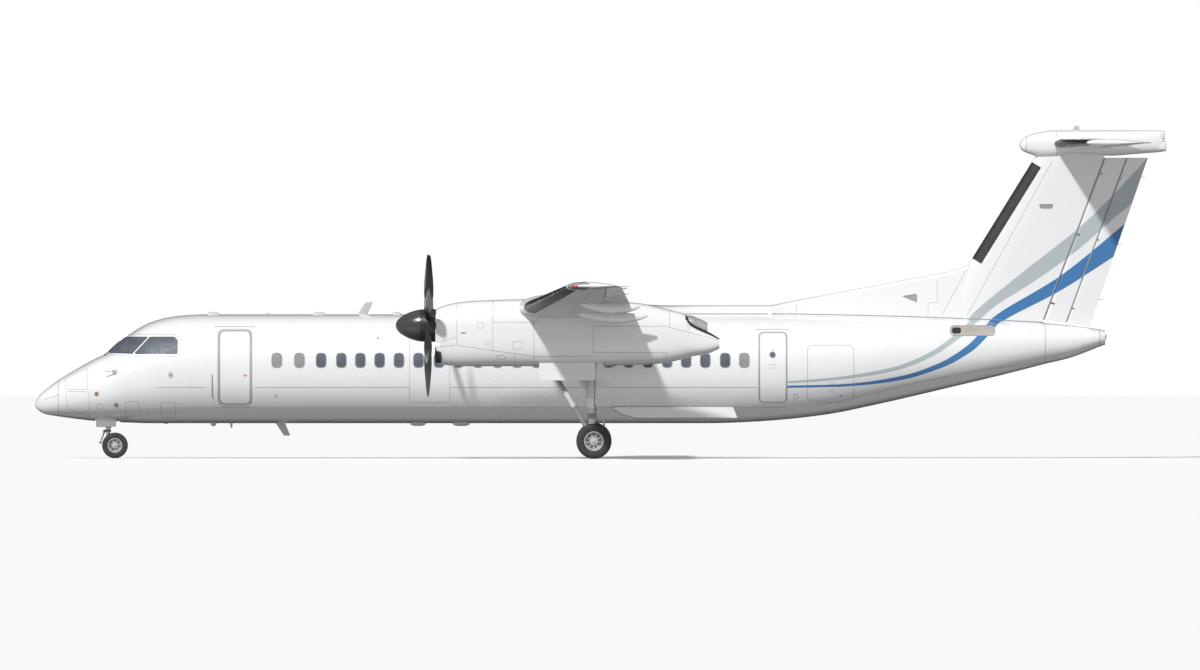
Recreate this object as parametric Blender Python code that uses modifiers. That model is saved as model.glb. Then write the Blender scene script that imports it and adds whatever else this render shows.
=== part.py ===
"""High-wing, T-tail twin turboprop airliner on its landing gear.

Metres. +X aft, +Y starboard, +Z up, with the origin on the ground below the middle of the bounding box.
"""
import math

import bmesh
import bpy
from mathutils import Matrix, Vector

# Driving dimensions
HALF_LENGTH = 16.405
GAP = 0.0003
HULL_SIDES = 32
NACELLE_Y = 4.395
SHAFT_Z = 3.845

MAIN_WHEEL_X = -0.191
MAIN_TYRE_RADIUS = 0.51
MAIN_TYRE_WIDTH = 0.28
MAIN_WHEEL_OFFSET = 0.27
NOSE_LEG_X = -14.276
NOSE_WHEEL_X = -14.084
NOSE_TYRE_RADIUS = 0.371
NOSE_TYRE_WIDTH = 0.20
NOSE_WHEEL_OFFSET = 0.17

DOOR_X = (-11.082, -10.094)
DOOR_Z = (1.538, 3.738)
DOOR_THICKNESS = 0.09
DOOR_OPEN = math.radians(125)
DOOR_GAP = 0.008

REAR_SPAR = 0.72
AILERON_HINGE = 0.765
AILERON_Y = (9.80, 13.90)
FLAP_IN_Y = (1.32, 3.70)
FLAP_OUT_Y = (5.09, 9.77)
ELEVATOR_HINGE_X = 14.95
ELEVATOR_Y = (0.44, 4.50)
ELEVATOR_ARMS = (0.85, 2.50, 4.10)
PROP_X = -4.98
PROP_RADIUS = 2.055
BLADES = 6

SIDES = (("left", -1), ("right", 1))

for old in list(bpy.data.objects):
    bpy.data.objects.remove(old, do_unlink=True)

scene = bpy.context.scene
parts = bpy.data.collections.new("turboprop_airliner")
cutters = bpy.data.collections.new("cutters")
scene.collection.children.link(parts)
scene.collection.children.link(cutters)
cutters.hide_render = True


def material(name, colour, roughness, metallic=0.0):
    made = bpy.data.materials.new(name)
    made.use_nodes = True
    shader = made.node_tree.nodes["Principled BSDF"]
    shader.inputs["Base Color"].default_value = (*colour, 1)
    shader.inputs["Roughness"].default_value = roughness
    shader.inputs["Metallic"].default_value = metallic
    made.diffuse_color = (*colour, 1)
    return made


WHITE = material("white paint", (0.86, 0.87, 0.88), 0.3)
RADOME = material("radome paint", (0.80, 0.81, 0.82), 0.4)
FIN_BLUE = material("tail paint", (0.84, 0.86, 0.88), 0.3)
STEEL = material("gear steel", (0.45, 0.46, 0.48), 0.35, 1.0)
GEAR_WHITE = material("gear paint", (0.75, 0.76, 0.77), 0.4)
WHEEL = material("wheel paint", (0.70, 0.71, 0.72), 0.4)
RUBBER = material("tyre rubber", (0.035, 0.033, 0.032), 0.8)
DARK = material("spinner paint", (0.05, 0.048, 0.047), 0.4)
BLADE = material("blade paint", (0.07, 0.07, 0.075), 0.45)
HOT = material("exhaust steel", (0.25, 0.22, 0.20), 0.5, 1.0)


def adopt(obj, mat, cutter=False):
    """Puts an object in the part's collection, or in the cutters'."""
    for holder in list(obj.users_collection):
        holder.objects.unlink(obj)
    if cutter:
        cutters.objects.link(obj)
        obj.hide_render = True
        obj.display_type = "WIRE"
    else:
        parts.objects.link(obj)
    if mat and not obj.data.materials:
        obj.data.materials.append(mat)
    return obj


def smooth(obj, angle=35):
    obj.data.shade_smooth()
    obj.data.set_sharp_from_angle(angle=math.radians(angle))
    return obj


def place(obj, mat, cutter=False, origin=(0, 0, 0)):
    """Applies the object's transform about a new origin."""
    matrix = obj.matrix_basis.copy()
    obj.data.transform(Matrix.Translation(-Vector(origin)) @ matrix)
    obj.matrix_basis = Matrix.Translation(origin)
    return adopt(obj, mat, cutter)


def loft(name, rings, mat, cutter=False, origin=(0, 0, 0)):
    """A closed solid through rings of equally many points, with flat caps."""
    count = len(rings[0])
    bm = bmesh.new()
    rows = []
    for ring in rings:
        rows.append([bm.verts.new(Vector(point) - Vector(origin)) for point in ring])
    for low, high in zip(rows, rows[1:]):
        for i in range(count):
            j = (i + 1) % count
            # Every side is split the same way, so a solid and its cutter share their facets.
            bm.faces.new((low[i], low[j], high[j]))
            bm.faces.new((low[i], high[j], high[i]))
    bm.faces.new(rows[0][::-1])
    bm.faces.new(rows[-1])
    bmesh.ops.recalc_face_normals(bm, faces=bm.faces)
    mesh = bpy.data.meshes.new(name)
    bm.to_mesh(mesh)
    bm.free()
    obj = bpy.data.objects.new(name, mesh)
    obj.location = origin
    adopt(obj, mat, cutter)
    return smooth(obj)


def prism(name, outline, axis, low, high, mat, cutter=False, origin=(0, 0, 0)):
    """A flat outline drawn out along one axis: 2-D points give the other two coordinates in order."""
    keep = [i for i in range(3) if i != axis]
    rings = []
    for level in (low, high):
        ring = []
        for pair in outline:
            point = [0.0, 0.0, 0.0]
            point[keep[0]], point[keep[1]] = pair
            point[axis] = level
            ring.append(point)
        rings.append(ring)
    return loft(name, rings, mat, cutter, origin)


def box(name, low, high, mat, cutter=False, origin=(0, 0, 0)):
    middle = [(a + b) / 2 for a, b in zip(low, high)]
    bpy.ops.mesh.primitive_cube_add(size=1, location=middle)
    obj = bpy.context.object
    obj.name = name
    obj.data.name = name
    obj.scale = [b - a for a, b in zip(low, high)]
    return place(obj, mat, cutter, origin)


def rod(name, start, end, radius, mat, cutter=False, origin=(0, 0, 0), sides=16, radius2=None):
    """A cylinder, or a cone, from start to end."""
    start, end = Vector(start), Vector(end)
    along = end - start
    bpy.ops.mesh.primitive_cone_add(
        vertices=sides,
        radius1=radius,
        radius2=radius if radius2 is None else radius2,
        depth=along.length,
        location=(start + end) / 2,
        rotation=along.to_track_quat("Z", "Y").to_euler(),
    )
    obj = bpy.context.object
    obj.name = name
    obj.data.name = name
    return smooth(place(obj, mat, cutter, origin))


def turned(name, profile, centre, axis, mat, steps=28, cutter=False):
    """A profile of (radius, height) turned about a line through the centre, along X or Y."""
    mesh = bpy.data.meshes.new(name)
    points = [(r, 0, h) for r, h in profile]
    closed = profile[0][0] > 1e-4 or profile[-1][0] > 1e-4
    edges = [(i, i + 1) for i in range(len(points) - 1)]
    if closed:
        edges.append((len(points) - 1, 0))
    mesh.from_pydata(points, edges, [])
    obj = bpy.data.objects.new(name, mesh)
    scene.collection.objects.link(obj)
    turn = obj.modifiers.new("Turn", "SCREW")
    turn.axis = "Z"
    turn.steps = steps
    turn.render_steps = steps
    turn.use_merge_vertices = True
    turn.merge_threshold = 0.0001
    graph = bpy.context.evaluated_depsgraph_get()
    made = bpy.data.meshes.new_from_object(obj.evaluated_get(graph))
    bpy.data.objects.remove(obj, do_unlink=True)
    bm = bmesh.new()
    bm.from_mesh(made)
    bmesh.ops.remove_doubles(bm, verts=bm.verts, dist=0.00005)
    bmesh.ops.recalc_face_normals(bm, faces=bm.faces)
    bm.to_mesh(made)
    bm.free()
    made.name = name
    lean = Matrix.Rotation(math.radians(90), 4, "Y" if axis == "X" else "X")
    made.transform(lean)
    result = bpy.data.objects.new(name, made)
    result.location = centre
    adopt(result, mat, cutter)
    return smooth(result)


def combine(obj, other, operation):
    """A Boolean whose other operand becomes a cutter."""
    if other.name not in cutters.objects:
        adopt(other, None, cutter=True)
    step = obj.modifiers.new(operation.title(), "BOOLEAN")
    step.operation = operation
    step.solver = "EXACT"
    step.object = other
    return obj


def cut(obj, other):
    return combine(obj, other, "DIFFERENCE")


def join(obj, other):
    return combine(obj, other, "UNION")


def slab(name, point, axis, aft, along, back, forth, wide, cutter=True):
    """A box set square to a hinge axis: half height along it, reach behind and ahead of it, half width."""
    axis, aft = Vector(axis).normalized(), Vector(aft)
    aft = (aft - axis * aft.dot(axis)).normalized()
    normal = axis.cross(aft)
    rings = []
    for a in (-along, along):
        corners = ((back, -wide), (forth, -wide), (forth, wide), (back, wide))
        rings.append([tuple(Vector(point) + axis * a + aft * b + normal * c) for b, c in corners])
    return loft(name, rings, None, cutter)


def hinge_bracket(name, fixed, moving, point, axis, reach, half_width, thick=0.03, aft=(1, 0, 0)):
    """A hinge arm that stands out of the fixed piece into a slot in the moving piece's nose."""
    cut(moving, slab(name + "_slot", point, axis, aft, thick + GAP, -reach, 0.055, reach))
    join(fixed, slab(name, point, axis, aft, thick, -reach - 0.03, 0.02, half_width))


def between(table, x, column):
    """Straight-line value of a table's column at x, where column 0 holds x."""
    if x <= table[0][0]:
        return table[0][column]
    for low, high in zip(table, table[1:]):
        if x <= high[0]:
            share = (x - low[0]) / (high[0] - low[0])
            return low[column] + share * (high[column] - low[column])
    return table[-1][column]


def stations(table, start, end):
    return [start] + [row[0] for row in table if start + 0.02 < row[0] < end - 0.02] + [end]


def oval(x, y, top, bottom, half, sides, power=2.0):
    """A ring across X: a circle-like outline, squarer with a higher power."""
    middle = (top + bottom) / 2
    height = (top - bottom) / 2
    ring = []
    for i in range(sides):
        angle = 2 * math.pi * i / sides
        s, c = math.sin(angle), math.cos(angle)
        across = math.copysign(abs(s) ** (2 / power), s)
        up = math.copysign(abs(c) ** (2 / power), c)
        ring.append((x, y + half * across, middle + height * up))
    return ring


# Fuselage: x, top z, bottom z, half width
HULL = (
    (-16.405, 1.640, 1.510, 0.065),
    (-16.350, 1.710, 1.435, 0.140),
    (-16.240, 1.863, 1.341, 0.270),
    (-16.066, 2.008, 1.269, 0.400),
    (-15.719, 2.268, 1.211, 0.600),
    (-15.197, 2.587, 1.139, 0.850),
    (-14.676, 2.877, 1.081, 1.050),
    (-14.328, 3.036, 1.060, 1.160),
    (-13.980, 3.355, 1.043, 1.260),
    (-13.633, 3.616, 1.031, 1.345),
    (-13.053, 3.949, 1.014, 1.455),
    (-12.474, 4.094, 1.014, 1.525),
    (-11.894, 4.160, 1.014, 1.560),
    (-11.460, 4.172, 1.014, 1.571),
    (3.171, 4.172, 1.014, 1.571),
    (4.330, 4.172, 1.052, 1.565),
    (5.489, 4.172, 1.139, 1.540),
    (6.648, 4.152, 1.283, 1.480),
    (7.807, 4.129, 1.515, 1.380),
    (8.966, 4.094, 1.776, 1.250),
    (10.125, 4.051, 2.051, 1.100),
    (11.283, 4.007, 2.326, 0.930),
    (12.442, 3.940, 2.616, 0.750),
    (12.891, 3.930, 2.734, 0.680),
    (13.601, 3.845, 2.906, 0.560),
    (14.181, 3.775, 3.138, 0.450),
    (14.456, 3.737, 3.240, 0.390),
    (14.636, 3.700, 3.290, 0.300),
)


def hull_ring(x, grow=0.0):
    top = between(HULL, x, 1) + grow
    bottom = between(HULL, x, 2) - grow
    return oval(x, 0, top, bottom, between(HULL, x, 3) + grow, HULL_SIDES)


def hull_side(x, z):
    """Half width of the fuselage at a height."""
    top, bottom, half = (between(HULL, x, i) for i in (1, 2, 3))
    share = (z - (top + bottom) / 2) / ((top - bottom) / 2)
    return half * math.sqrt(max(0.0, 1 - share * share))


def hull_loft(name, start, end, mat, cutter=False, grow=0.0):
    rings = [hull_ring(x, grow) for x in stations(HULL, start, end)]
    return loft(name, rings, mat, cutter)


# Node, forward end, aft end, material
SECTIONS = (
    ("radome", -HALF_LENGTH, -15.719, RADOME),
    ("nose_section", -15.719, -11.270, WHITE),
    ("entry_section", -11.270, -9.860, WHITE),
    ("cabin_section", -9.860, 4.530, WHITE),
    ("rear_section", 4.530, 12.891, WHITE),
    ("tail_cone", 12.891, 14.636, WHITE),
)
sections = {}
for name, start, end, mat in SECTIONS:
    start += GAP / 2 if name != "radome" else 0
    end -= GAP / 2 if name != "tail_cone" else 0
    sections[name] = hull_loft(name, start, end, mat)
hull_cutter = hull_loft("hull_cutter", -HALF_LENGTH, 14.636, None, cutter=True, grow=GAP)

# Doorway and vestibule
cut(
    sections["entry_section"],
    box(
        "doorway_cutter",
        (DOOR_X[0] - DOOR_GAP, -1.75, DOOR_Z[0] - DOOR_GAP),
        (DOOR_X[1] + DOOR_GAP, -1.0, DOOR_Z[1] + DOOR_GAP),
        None,
        cutter=True,
    ),
)
# The vestibule's outer side follows the skin, a wall's thickness inside it
VESTIBULE_X = (-11.20, -9.94)
VESTIBULE_Z = (1.60, 3.74)
VESTIBULE_FAR_Y = 0.60
VESTIBULE_WALL = 0.07
room = []
for i in range(13):
    z = VESTIBULE_Z[0] + (VESTIBULE_Z[1] - VESTIBULE_Z[0]) * i / 12
    room.append((VESTIBULE_WALL - hull_side(-10.6, z), z))
room += [(VESTIBULE_FAR_Y, VESTIBULE_Z[1]), (VESTIBULE_FAR_Y, VESTIBULE_Z[0])]
cut(sections["entry_section"], prism("vestibule_cutter", room, 0, *VESTIBULE_X, None, cutter=True))

# Airstair door: a curved panel hinged at its lower outer edge, with its steps
DOOR_HINGE = (0.0, -hull_side(-10.6, DOOR_Z[0]) - 0.004, DOOR_Z[0] - 0.002)


def door_outline():
    heights = [DOOR_Z[0] + (DOOR_Z[1] - DOOR_Z[0]) * i / 10 for i in range(11)]
    outer = [(-hull_side(-10.6, z), z) for z in heights]
    middle = 2.593
    inner = []
    for y, z in reversed(outer):
        out = Vector((y, z - middle)).normalized()
        height = min(max(z - out[1] * DOOR_THICKNESS, DOOR_Z[0]), DOOR_Z[1])
        inner.append((y - out[0] * DOOR_THICKNESS, height))
    return outer + inner


hinge_point = ((DOOR_X[0] + DOOR_X[1]) / 2, DOOR_HINGE[1], DOOR_HINGE[2])
airstair = prism("airstair_door", door_outline(), 0, DOOR_X[0], DOOR_X[1], WHITE, origin=hinge_point)
STEPS = 5
STEP_TREAD = 0.24
for i in range(STEPS):
    # A step is drawn level on the open door and turned back with it.
    z = 1.86 + 0.33 * i
    y = -hull_side(-10.6, z)
    out = Vector((y, z - 2.593)).normalized()
    root = Vector((0, y - out[0] * (DOOR_THICKNESS - 0.02), z - out[1] * (DOOR_THICKNESS - 0.02)))
    turn = Matrix.Rotation(-DOOR_OPEN, 3, "X")
    level = turn @ Vector((0, -STEP_TREAD, 0))
    drop = turn @ Vector((0, 0, -0.17))
    triangle = [root, root + level, root + level + drop]
    step = prism(
        "step_%d" % i,
        [(p[1], p[2]) for p in triangle],
        0,
        DOOR_X[0] + 0.12,
        DOOR_X[1] - 0.12,
        None,
        cutter=True,
    )
    join(airstair, step)

# Door hinge: barrels on the sill at both ends, one on the door between them
BARREL = 0.018
BARREL_X = (-11.00, -10.88, -10.30, -10.18)


def barrel(name, start, end, radius):
    ends = [(x, DOOR_HINGE[1], DOOR_HINGE[2]) for x in (start, end)]
    return rod(name, *ends, radius, None, True, sides=14)


sill_notch = barrel("sill_notch", BARREL_X[1] - 0.006, BARREL_X[2] + 0.006, BARREL + 0.007)
cut(sections["entry_section"], sill_notch)
for i, (start, end) in enumerate(((BARREL_X[0], BARREL_X[1] - GAP), (BARREL_X[2] + GAP, BARREL_X[3]))):
    cut(airstair, barrel("door_notch_%d" % i, start - 0.006, end + 0.006, BARREL + 0.007))
    join(sections["entry_section"], barrel("sill_barrel_%d" % i, start, end, BARREL))
    low = (start + 0.002, DOOR_HINGE[1] + 0.002, DOOR_HINGE[2] - 0.05)
    high = (end - 0.002, DOOR_HINGE[1] + 0.05, DOOR_HINGE[2] - 0.005)
    join(sections["entry_section"], box("sill_lug_%d" % i, low, high, None, True))
join(airstair, barrel("door_barrel", BARREL_X[1], BARREL_X[2], BARREL))

# Wing section: chord share, upper and lower height as shares of the thickness
AIRFOIL = (
    (0.000, 0.00, 0.00),
    (0.012, 0.20, 0.13),
    (0.050, 0.36, 0.22),
    (0.120, 0.49, 0.30),
    (0.220, 0.57, 0.36),
    (0.350, 0.61, 0.39),
    (0.500, 0.57, 0.36),
    (0.620, 0.49, 0.28),
    (0.720, 0.39, 0.20),
    (0.765, 0.335, 0.165),
    (0.850, 0.225, 0.105),
    (0.930, 0.115, 0.055),
    (1.000, 0.012, 0.012),
)
# Symmetric tail section
TAILFOIL = (
    (0.000, 0.00, 0.00),
    (0.015, 0.19, 0.19),
    (0.060, 0.33, 0.33),
    (0.150, 0.45, 0.45),
    (0.300, 0.50, 0.50),
    (0.450, 0.47, 0.47),
    (0.600, 0.38, 0.38),
    (0.700, 0.30, 0.30),
    (0.800, 0.21, 0.21),
    (0.900, 0.11, 0.11),
    (1.000, 0.02, 0.02),
)
# Wing plan: y, leading edge x, chord, thickness, z of the chord line
WING = (
    (0.00, -2.247, 3.158, 0.560, 4.297),
    (4.395, -2.247, 3.158, 0.560, 4.297),
    (5.10, -2.247, 3.158, 0.545, 4.330),
    (13.90, -0.945, 1.530, 0.230, 4.947),
    (14.10, -0.890, 1.440, 0.205, 4.960),
    (14.21, -0.660, 1.080, 0.070, 4.970),
)


def wing_values(y):
    return [between(WING, abs(y), i) for i in (1, 2, 3, 4)]


def foil_points(foil, start, end):
    """Rows of a foil between two chord shares, with its ends interpolated."""
    cuts = [start] + [row[0] for row in foil if start + 1e-6 < row[0] < end - 1e-6] + [end]
    return [(c, between(foil, c, 1), between(foil, c, 2)) for c in cuts]


def foil_ring(foil, lead, chord, thick, z, start=0.0, end=1.0, grow=0.0):
    """A foil's outline as (x, z) pairs: over the top going aft, and back below."""
    rows = foil_points(foil, start, end)
    over = [(lead + c * chord, z + up * thick + grow) for c, up, low in rows]
    under = [(lead + c * chord, z - low * thick - grow) for c, up, low in rows]
    if start == 0.0:
        over[0] = (lead - grow, z)
        under = under[1:]
    if end == 1.0:
        over[-1] = (over[-1][0] + grow, over[-1][1])
        under[-1] = (under[-1][0] + grow, under[-1][1])
    return over + under[::-1]


def wing_loft(name, spans, side, start, end, mat, cutter=False, grow=0.0, origin=(0, 0, 0)):
    rings = []
    for y in spans:
        lead, chord, thick, z = wing_values(y)
        ring = foil_ring(AIRFOIL, lead, chord, thick, z, start, end, grow)
        rings.append([(x, side * y if side else y, height) for x, height in ring])
    return loft(name, rings, mat, cutter, origin)


AFT_SHARES = (0.80, 0.87, 0.94, 1.0)


def stepped_ring(y, side, full):
    """The wing's outline, whole or ending at the rear spar, always with as many points."""
    lead, chord, thick, z = wing_values(y)
    rows = foil_points(AIRFOIL, 0.0, REAR_SPAR)
    over = [(lead + c * chord, z + up * thick) for c, up, low in rows]
    under = [(lead + c * chord, z - low * thick) for c, up, low in rows][1:]
    aft = []
    if full:
        aft = [(lead + c * chord, z + between(AIRFOIL, c, 1) * thick) for c in AFT_SHARES]
        aft += [(lead + c * chord, z - between(AIRFOIL, c, 2) * thick) for c in reversed(AFT_SHARES)]
    else:
        high, bottom = over[-1], under[-1]
        steps = 2 * len(AFT_SHARES) + 1
        aft = [(high[0], high[1] + (bottom[1] - high[1]) * i / steps) for i in range(1, steps)]
    return [(x, side * y, height) for x, height in over + aft + under[::-1]]


def nosed_ring(foil, lead, chord, thick, z, hinge, shrink=0.0):
    """A control surface's outline: a round nose about its hinge, then the foil to its trailing edge."""
    up = between(foil, hinge, 1) * thick
    low = between(foil, hinge, 2) * thick
    radius = (up + low) / 2 - shrink
    centre = z + (up - low) / 2
    hinge_x = lead + hinge * chord
    nose = []
    for i in range(7):
        angle = math.radians(90 + 30 * i)
        nose.append((hinge_x + radius * math.cos(angle), centre + radius * math.sin(angle)))
    shares = [hinge + (1.0 - hinge) * k / 4 for k in range(1, 5)]
    under = [(lead + c * chord, z - between(foil, c, 2) * thick) for c in shares]
    over = [(lead + c * chord, z + between(foil, c, 1) * thick) for c in shares]
    return nose + under + over[::-1]


# Nacelle: x, top z, bottom z, half width
NACELLE = (
    (-4.753, 4.326, 2.775, 0.475),
    (-4.360, 4.462, 2.689, 0.530),
    (-3.780, 4.548, 2.668, 0.590),
    (-3.200, 4.578, 2.668, 0.630),
    (-1.922, 4.607, 2.668, 0.650),
    (0.000, 4.586, 2.668, 0.650),
    (0.262, 4.565, 2.686, 0.645),
    (1.124, 4.488, 2.715, 0.610),
    (1.606, 4.392, 2.735, 0.570),
    (2.020, 4.290, 2.790, 0.520),
    (2.454, 4.169, 2.900, 0.460),
    (2.585, 3.969, 2.940, 0.440),
    (2.852, 3.793, 2.985, 0.400),
    (3.162, 3.636, 3.050, 0.350),
    (3.430, 3.471, 3.180, 0.280),
)
NACELLE_SIDES = 24
FIREWALL_X = -1.922


def nacelle_loft(name, start, end, y, mat, cutter=False, grow=0.0):
    rings = []
    for x in stations(NACELLE, start, end):
        top, bottom, half = (between(NACELLE, x, i) for i in (1, 2, 3))
        rings.append(oval(x, y, top + grow, bottom - grow, half + grow, NACELLE_SIDES, 2.5))
    return loft(name, rings, mat, cutter)


# Chin intake: half width, low z, high z, depth
INTAKE = (0.32, 2.845, 3.215, 0.75)
COWL_BORE = 0.41
BAY = ((-1.80, 2.5), (0.12, 3.10))
BAY_HALF = 0.37

nacelle_cutters = {}
for label, side in SIDES:
    y = side * NACELLE_Y
    nacelle = nacelle_loft("nacelle_" + label, FIREWALL_X + GAP, 3.430, y, WHITE)
    cutter_name = "nacelle_cutter_" + label
    nacelle_cutters[label] = nacelle_loft(cutter_name, FIREWALL_X - 0.6, NACELLE[-1][0], y, None, True, GAP)
    bay = box(
        "bay_cutter_" + label,
        (BAY[0][0], y - BAY_HALF, BAY[0][1]),
        (BAY[1][0], y + BAY_HALF, BAY[1][1]),
        None,
        cutter=True,
    )
    cut(nacelle, bay)

    cowl = nacelle_loft("cowl_" + label, -4.753, FIREWALL_X, y, WHITE)
    bore = rod(
        "cowl_bore_" + label, (-4.66, y, SHAFT_Z), (-1.8, y, SHAFT_Z), COWL_BORE, None, True, sides=28
    )
    cut(cowl, bore)
    cut(cowl, rod("shaft_hole_" + label, (-4.9, y, SHAFT_Z), (-4.5, y, SHAFT_Z), 0.16, None, True))
    mouth = [
        oval(x, y, INTAKE[2], INTAKE[1], INTAKE[0], 20, 3.0) for x in (-4.9, -4.753 + INTAKE[3])
    ]
    cut(cowl, loft("intake_cutter_" + label, mouth, None, True))

    turned(
        "engine_" + label,
        [
            (0, -4.43), (0.24, -4.43), (0.27, -4.40), (0.27, -3.95),
            (0.36, -3.80), (0.36, FIREWALL_X), (0, FIREWALL_X),
        ],
        (0, y, SHAFT_Z),
        "X",
        STEEL,
        20,
    )

    # Exhaust pipe, set into the top of the nacelle's tail
    pipe = [(2.10, 3.96, 0.21), (2.60, 3.92, 0.21), (2.90, 3.83, 0.19), (3.08, 3.76, 0.165)]
    outer = [oval(x, y, z + r, z - r, r, 20) for x, z, r in pipe]
    exhaust = loft("exhaust_" + label, outer, HOT)
    grown = [oval(x, y, z + r + GAP, z - r - GAP, r + GAP, 20) for x, z, r in pipe]
    grown = [[(px - (GAP if i == 0 else 0), py, pz) for px, py, pz in ring] for i, ring in enumerate(grown)]
    grown.append([(px + 0.5, py, pz) for px, py, pz in grown[-1]])
    cut(nacelle, loft("exhaust_cutter_" + label, grown, None, True))
    bore = [(2.5, 3.925, 0.15), (2.9, 3.83, 0.16), (3.2, 3.71, 0.14)]
    inner = [oval(x, y, z + r, z - r, r, 20) for x, z, r in bore]
    cut(exhaust, loft("exhaust_bore_" + label, inner, None, True))

# Wing centre, fairing and outer wings
wing_centre = wing_loft("wing_centre", (-NACELLE_Y + GAP, 0.0, NACELLE_Y - GAP), 0, 0.0, REAR_SPAR, WHITE)
for label, side in SIDES:
    cut(wing_centre, nacelle_cutters[label])

# Fairing over the fuselage: x, top z, half width
FAIRING = (
    (-3.20, 4.02, 0.25),
    (-2.90, 4.22, 0.70),
    (-2.50, 4.40, 1.02),
    (-2.00, 4.52, 1.20),
    (-1.00, 4.58, 1.28),
    (0.20, 4.56, 1.28),
    (0.95, 4.50, 1.20),
    (1.45, 4.45, 1.00),
    (2.00, 4.433, 0.70),
    (2.80, 4.433, 0.46),
    (4.00, 4.433, 0.38),
    (4.92, 4.433, 0.36),
)
FAIRING_LOW = 3.60
rings = []
for x, top, half in FAIRING:
    rings.append(oval(x, 0, top, FAIRING_LOW - (top - FAIRING_LOW) * 0.4, half, 24, 2.6))
fairing = loft("wing_fairing", rings, WHITE)
cut(fairing, hull_cutter)
wing_slot = wing_loft("wing_slot_cutter", (-4.0, 0.0, 4.0), 0, 0.0, REAR_SPAR, None, True, GAP)
cut(fairing, wing_slot)
cut(sections["cabin_section"], wing_slot)

POD = ((5.60, -0.77, 1.369), (8.90, -0.636, 1.146))
outer_wings = {}
for label, side in SIDES:
    # y, and whether the section reaches back to the trailing edge
    spans = (
        (NACELLE_Y + GAP, 0), (5.10, 0), (13.925, 0), (13.930, 1),
        (14.02, 1), (14.10, 1), (14.17, 1), (14.21, 1),
    )
    outer = loft("wing_outer_" + label, [stepped_ring(y, side, full) for y, full in spans], WHITE)
    cut(outer, nacelle_cutters[label])
    outer_wings[label] = outer

    # Flaps: name, span, cut back for the fairing pods
    for kind, (low, high) in (("inboard", FLAP_IN_Y), ("outboard", FLAP_OUT_Y)):
        spans = [low] + [y for y in (5.10,) if low < y < high] + [high]
        gap_share = REAR_SPAR + GAP / 3.0
        flap = wing_loft("flap_%s_%s" % (kind, label), spans, side, gap_share, 1.0, WHITE)
        if kind == "inboard":
            fairing_rings = []
            for x, top, half in FAIRING:
                bottom = FAIRING_LOW - (top - FAIRING_LOW) * 0.4
                fairing_rings.append(oval(x, 0, top + GAP, bottom, half + GAP, 24, 2.6))
            fairing_cut = loft("fairing_cutter_" + label, fairing_rings, None, True)
            cut(flap, fairing_cut)

    for y, start, end in POD:
        lead, chord, thick, z = wing_values(y)
        under = z - 0.28 * thick
        rows = []
        for share, width, depth in (
            (0.0, 0.01, 0.01), (0.08, 0.05, 0.09), (0.25, 0.09, 0.20),
            (0.50, 0.11, 0.26), (0.75, 0.09, 0.20), (0.92, 0.05, 0.10), (1.0, 0.01, 0.02),
        ):
            x = start + share * (end - start)
            high = under + 0.06 - 0.10 * share
            rows.append(oval(x, side * y, high, high - depth - 0.06, width, 12))
        pod = loft("pod_%s_%d" % (label, round(y * 10)), rows, None, True)
        block_name = "flap_block_%s_%d" % (label, round(y * 10))
        block_span = (y - 0.4, y + 0.4)
        flap_block = wing_loft(block_name, block_span, side, REAR_SPAR - 0.012, 1.0, None, True, 0.004)
        cut(pod, flap_block)
        join(outer, pod)

    # Aileron about its hinge line
    ends = []
    rings = []
    for y in (AILERON_Y[0], AILERON_Y[1]):
        lead, chord, thick, z = wing_values(y)
        ring = nosed_ring(AIRFOIL, lead, chord, thick, z, AILERON_HINGE)
        rings.append([(x, side * y, height) for x, height in ring])
        up = between(AIRFOIL, AILERON_HINGE, 1)
        low = between(AIRFOIL, AILERON_HINGE, 2)
        ends.append(Vector((lead + AILERON_HINGE * chord, side * y, z + (up - low) / 2 * thick)))
    aileron = loft("aileron_" + label, rings, WHITE, origin=tuple(ends[0]))
    axis = ends[1] - ends[0]
    for i, share in enumerate((0.12, 0.50, 0.88)):
        point = ends[0].lerp(ends[1], share)
        radius = 0.125 - 0.05 * share
        hinge_bracket("aileron_arm_%s_%d" % (label, i), outer, aileron, point, axis, radius, 0.025)

# Tail: fin between its leading edge and the rudder, both raked
# z, leading edge x, chord to the trailing edge, thickness
FIN = (
    (3.60, 9.540, 5.140, 0.520),
    (4.073, 9.848, 4.400, 0.500),
    (5.590, 10.653, 3.990, 0.460),
    (8.594, 12.515, 3.300, 0.400),
    (9.000, 12.760, 3.200, 0.390),
)
RUDDER_HINGE = ((12.954, 3.986), (14.727, 8.773))
RUDDER_SPLIT = ((13.563, 3.908), (15.320, 8.721))
RUDDER_EDGE = ((14.170, 3.804), (15.879, 8.721))
RUDDER_TOP = 8.715


def on_line(line, z):
    (x0, z0), (x1, z1) = line
    return x0 + (z - z0) * (x1 - x0) / (z1 - z0)


RUDDER_RUN = RUDDER_HINGE[1][0] - RUDDER_HINGE[0][0]
RUDDER_RISE = RUDDER_HINGE[1][1] - RUDDER_HINGE[0][1]
RAKE = math.cos(math.atan2(RUDDER_RUN, RUDDER_RISE))


RUDDER_FOOT = 3.9
# Half thickness at the rudder's hinge, at its split and at its edge, low and high
RUDDER_HALF = ((0.125, 0.095), (0.070, 0.055), (0.010, 0.010))


def rudder_half(column, z):
    low, high = RUDDER_HALF[column]
    return low + (high - low) * (z - RUDDER_FOOT) / (RUDDER_TOP - RUDDER_FOOT)


NOSE_CLEAR = 0.010
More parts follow.
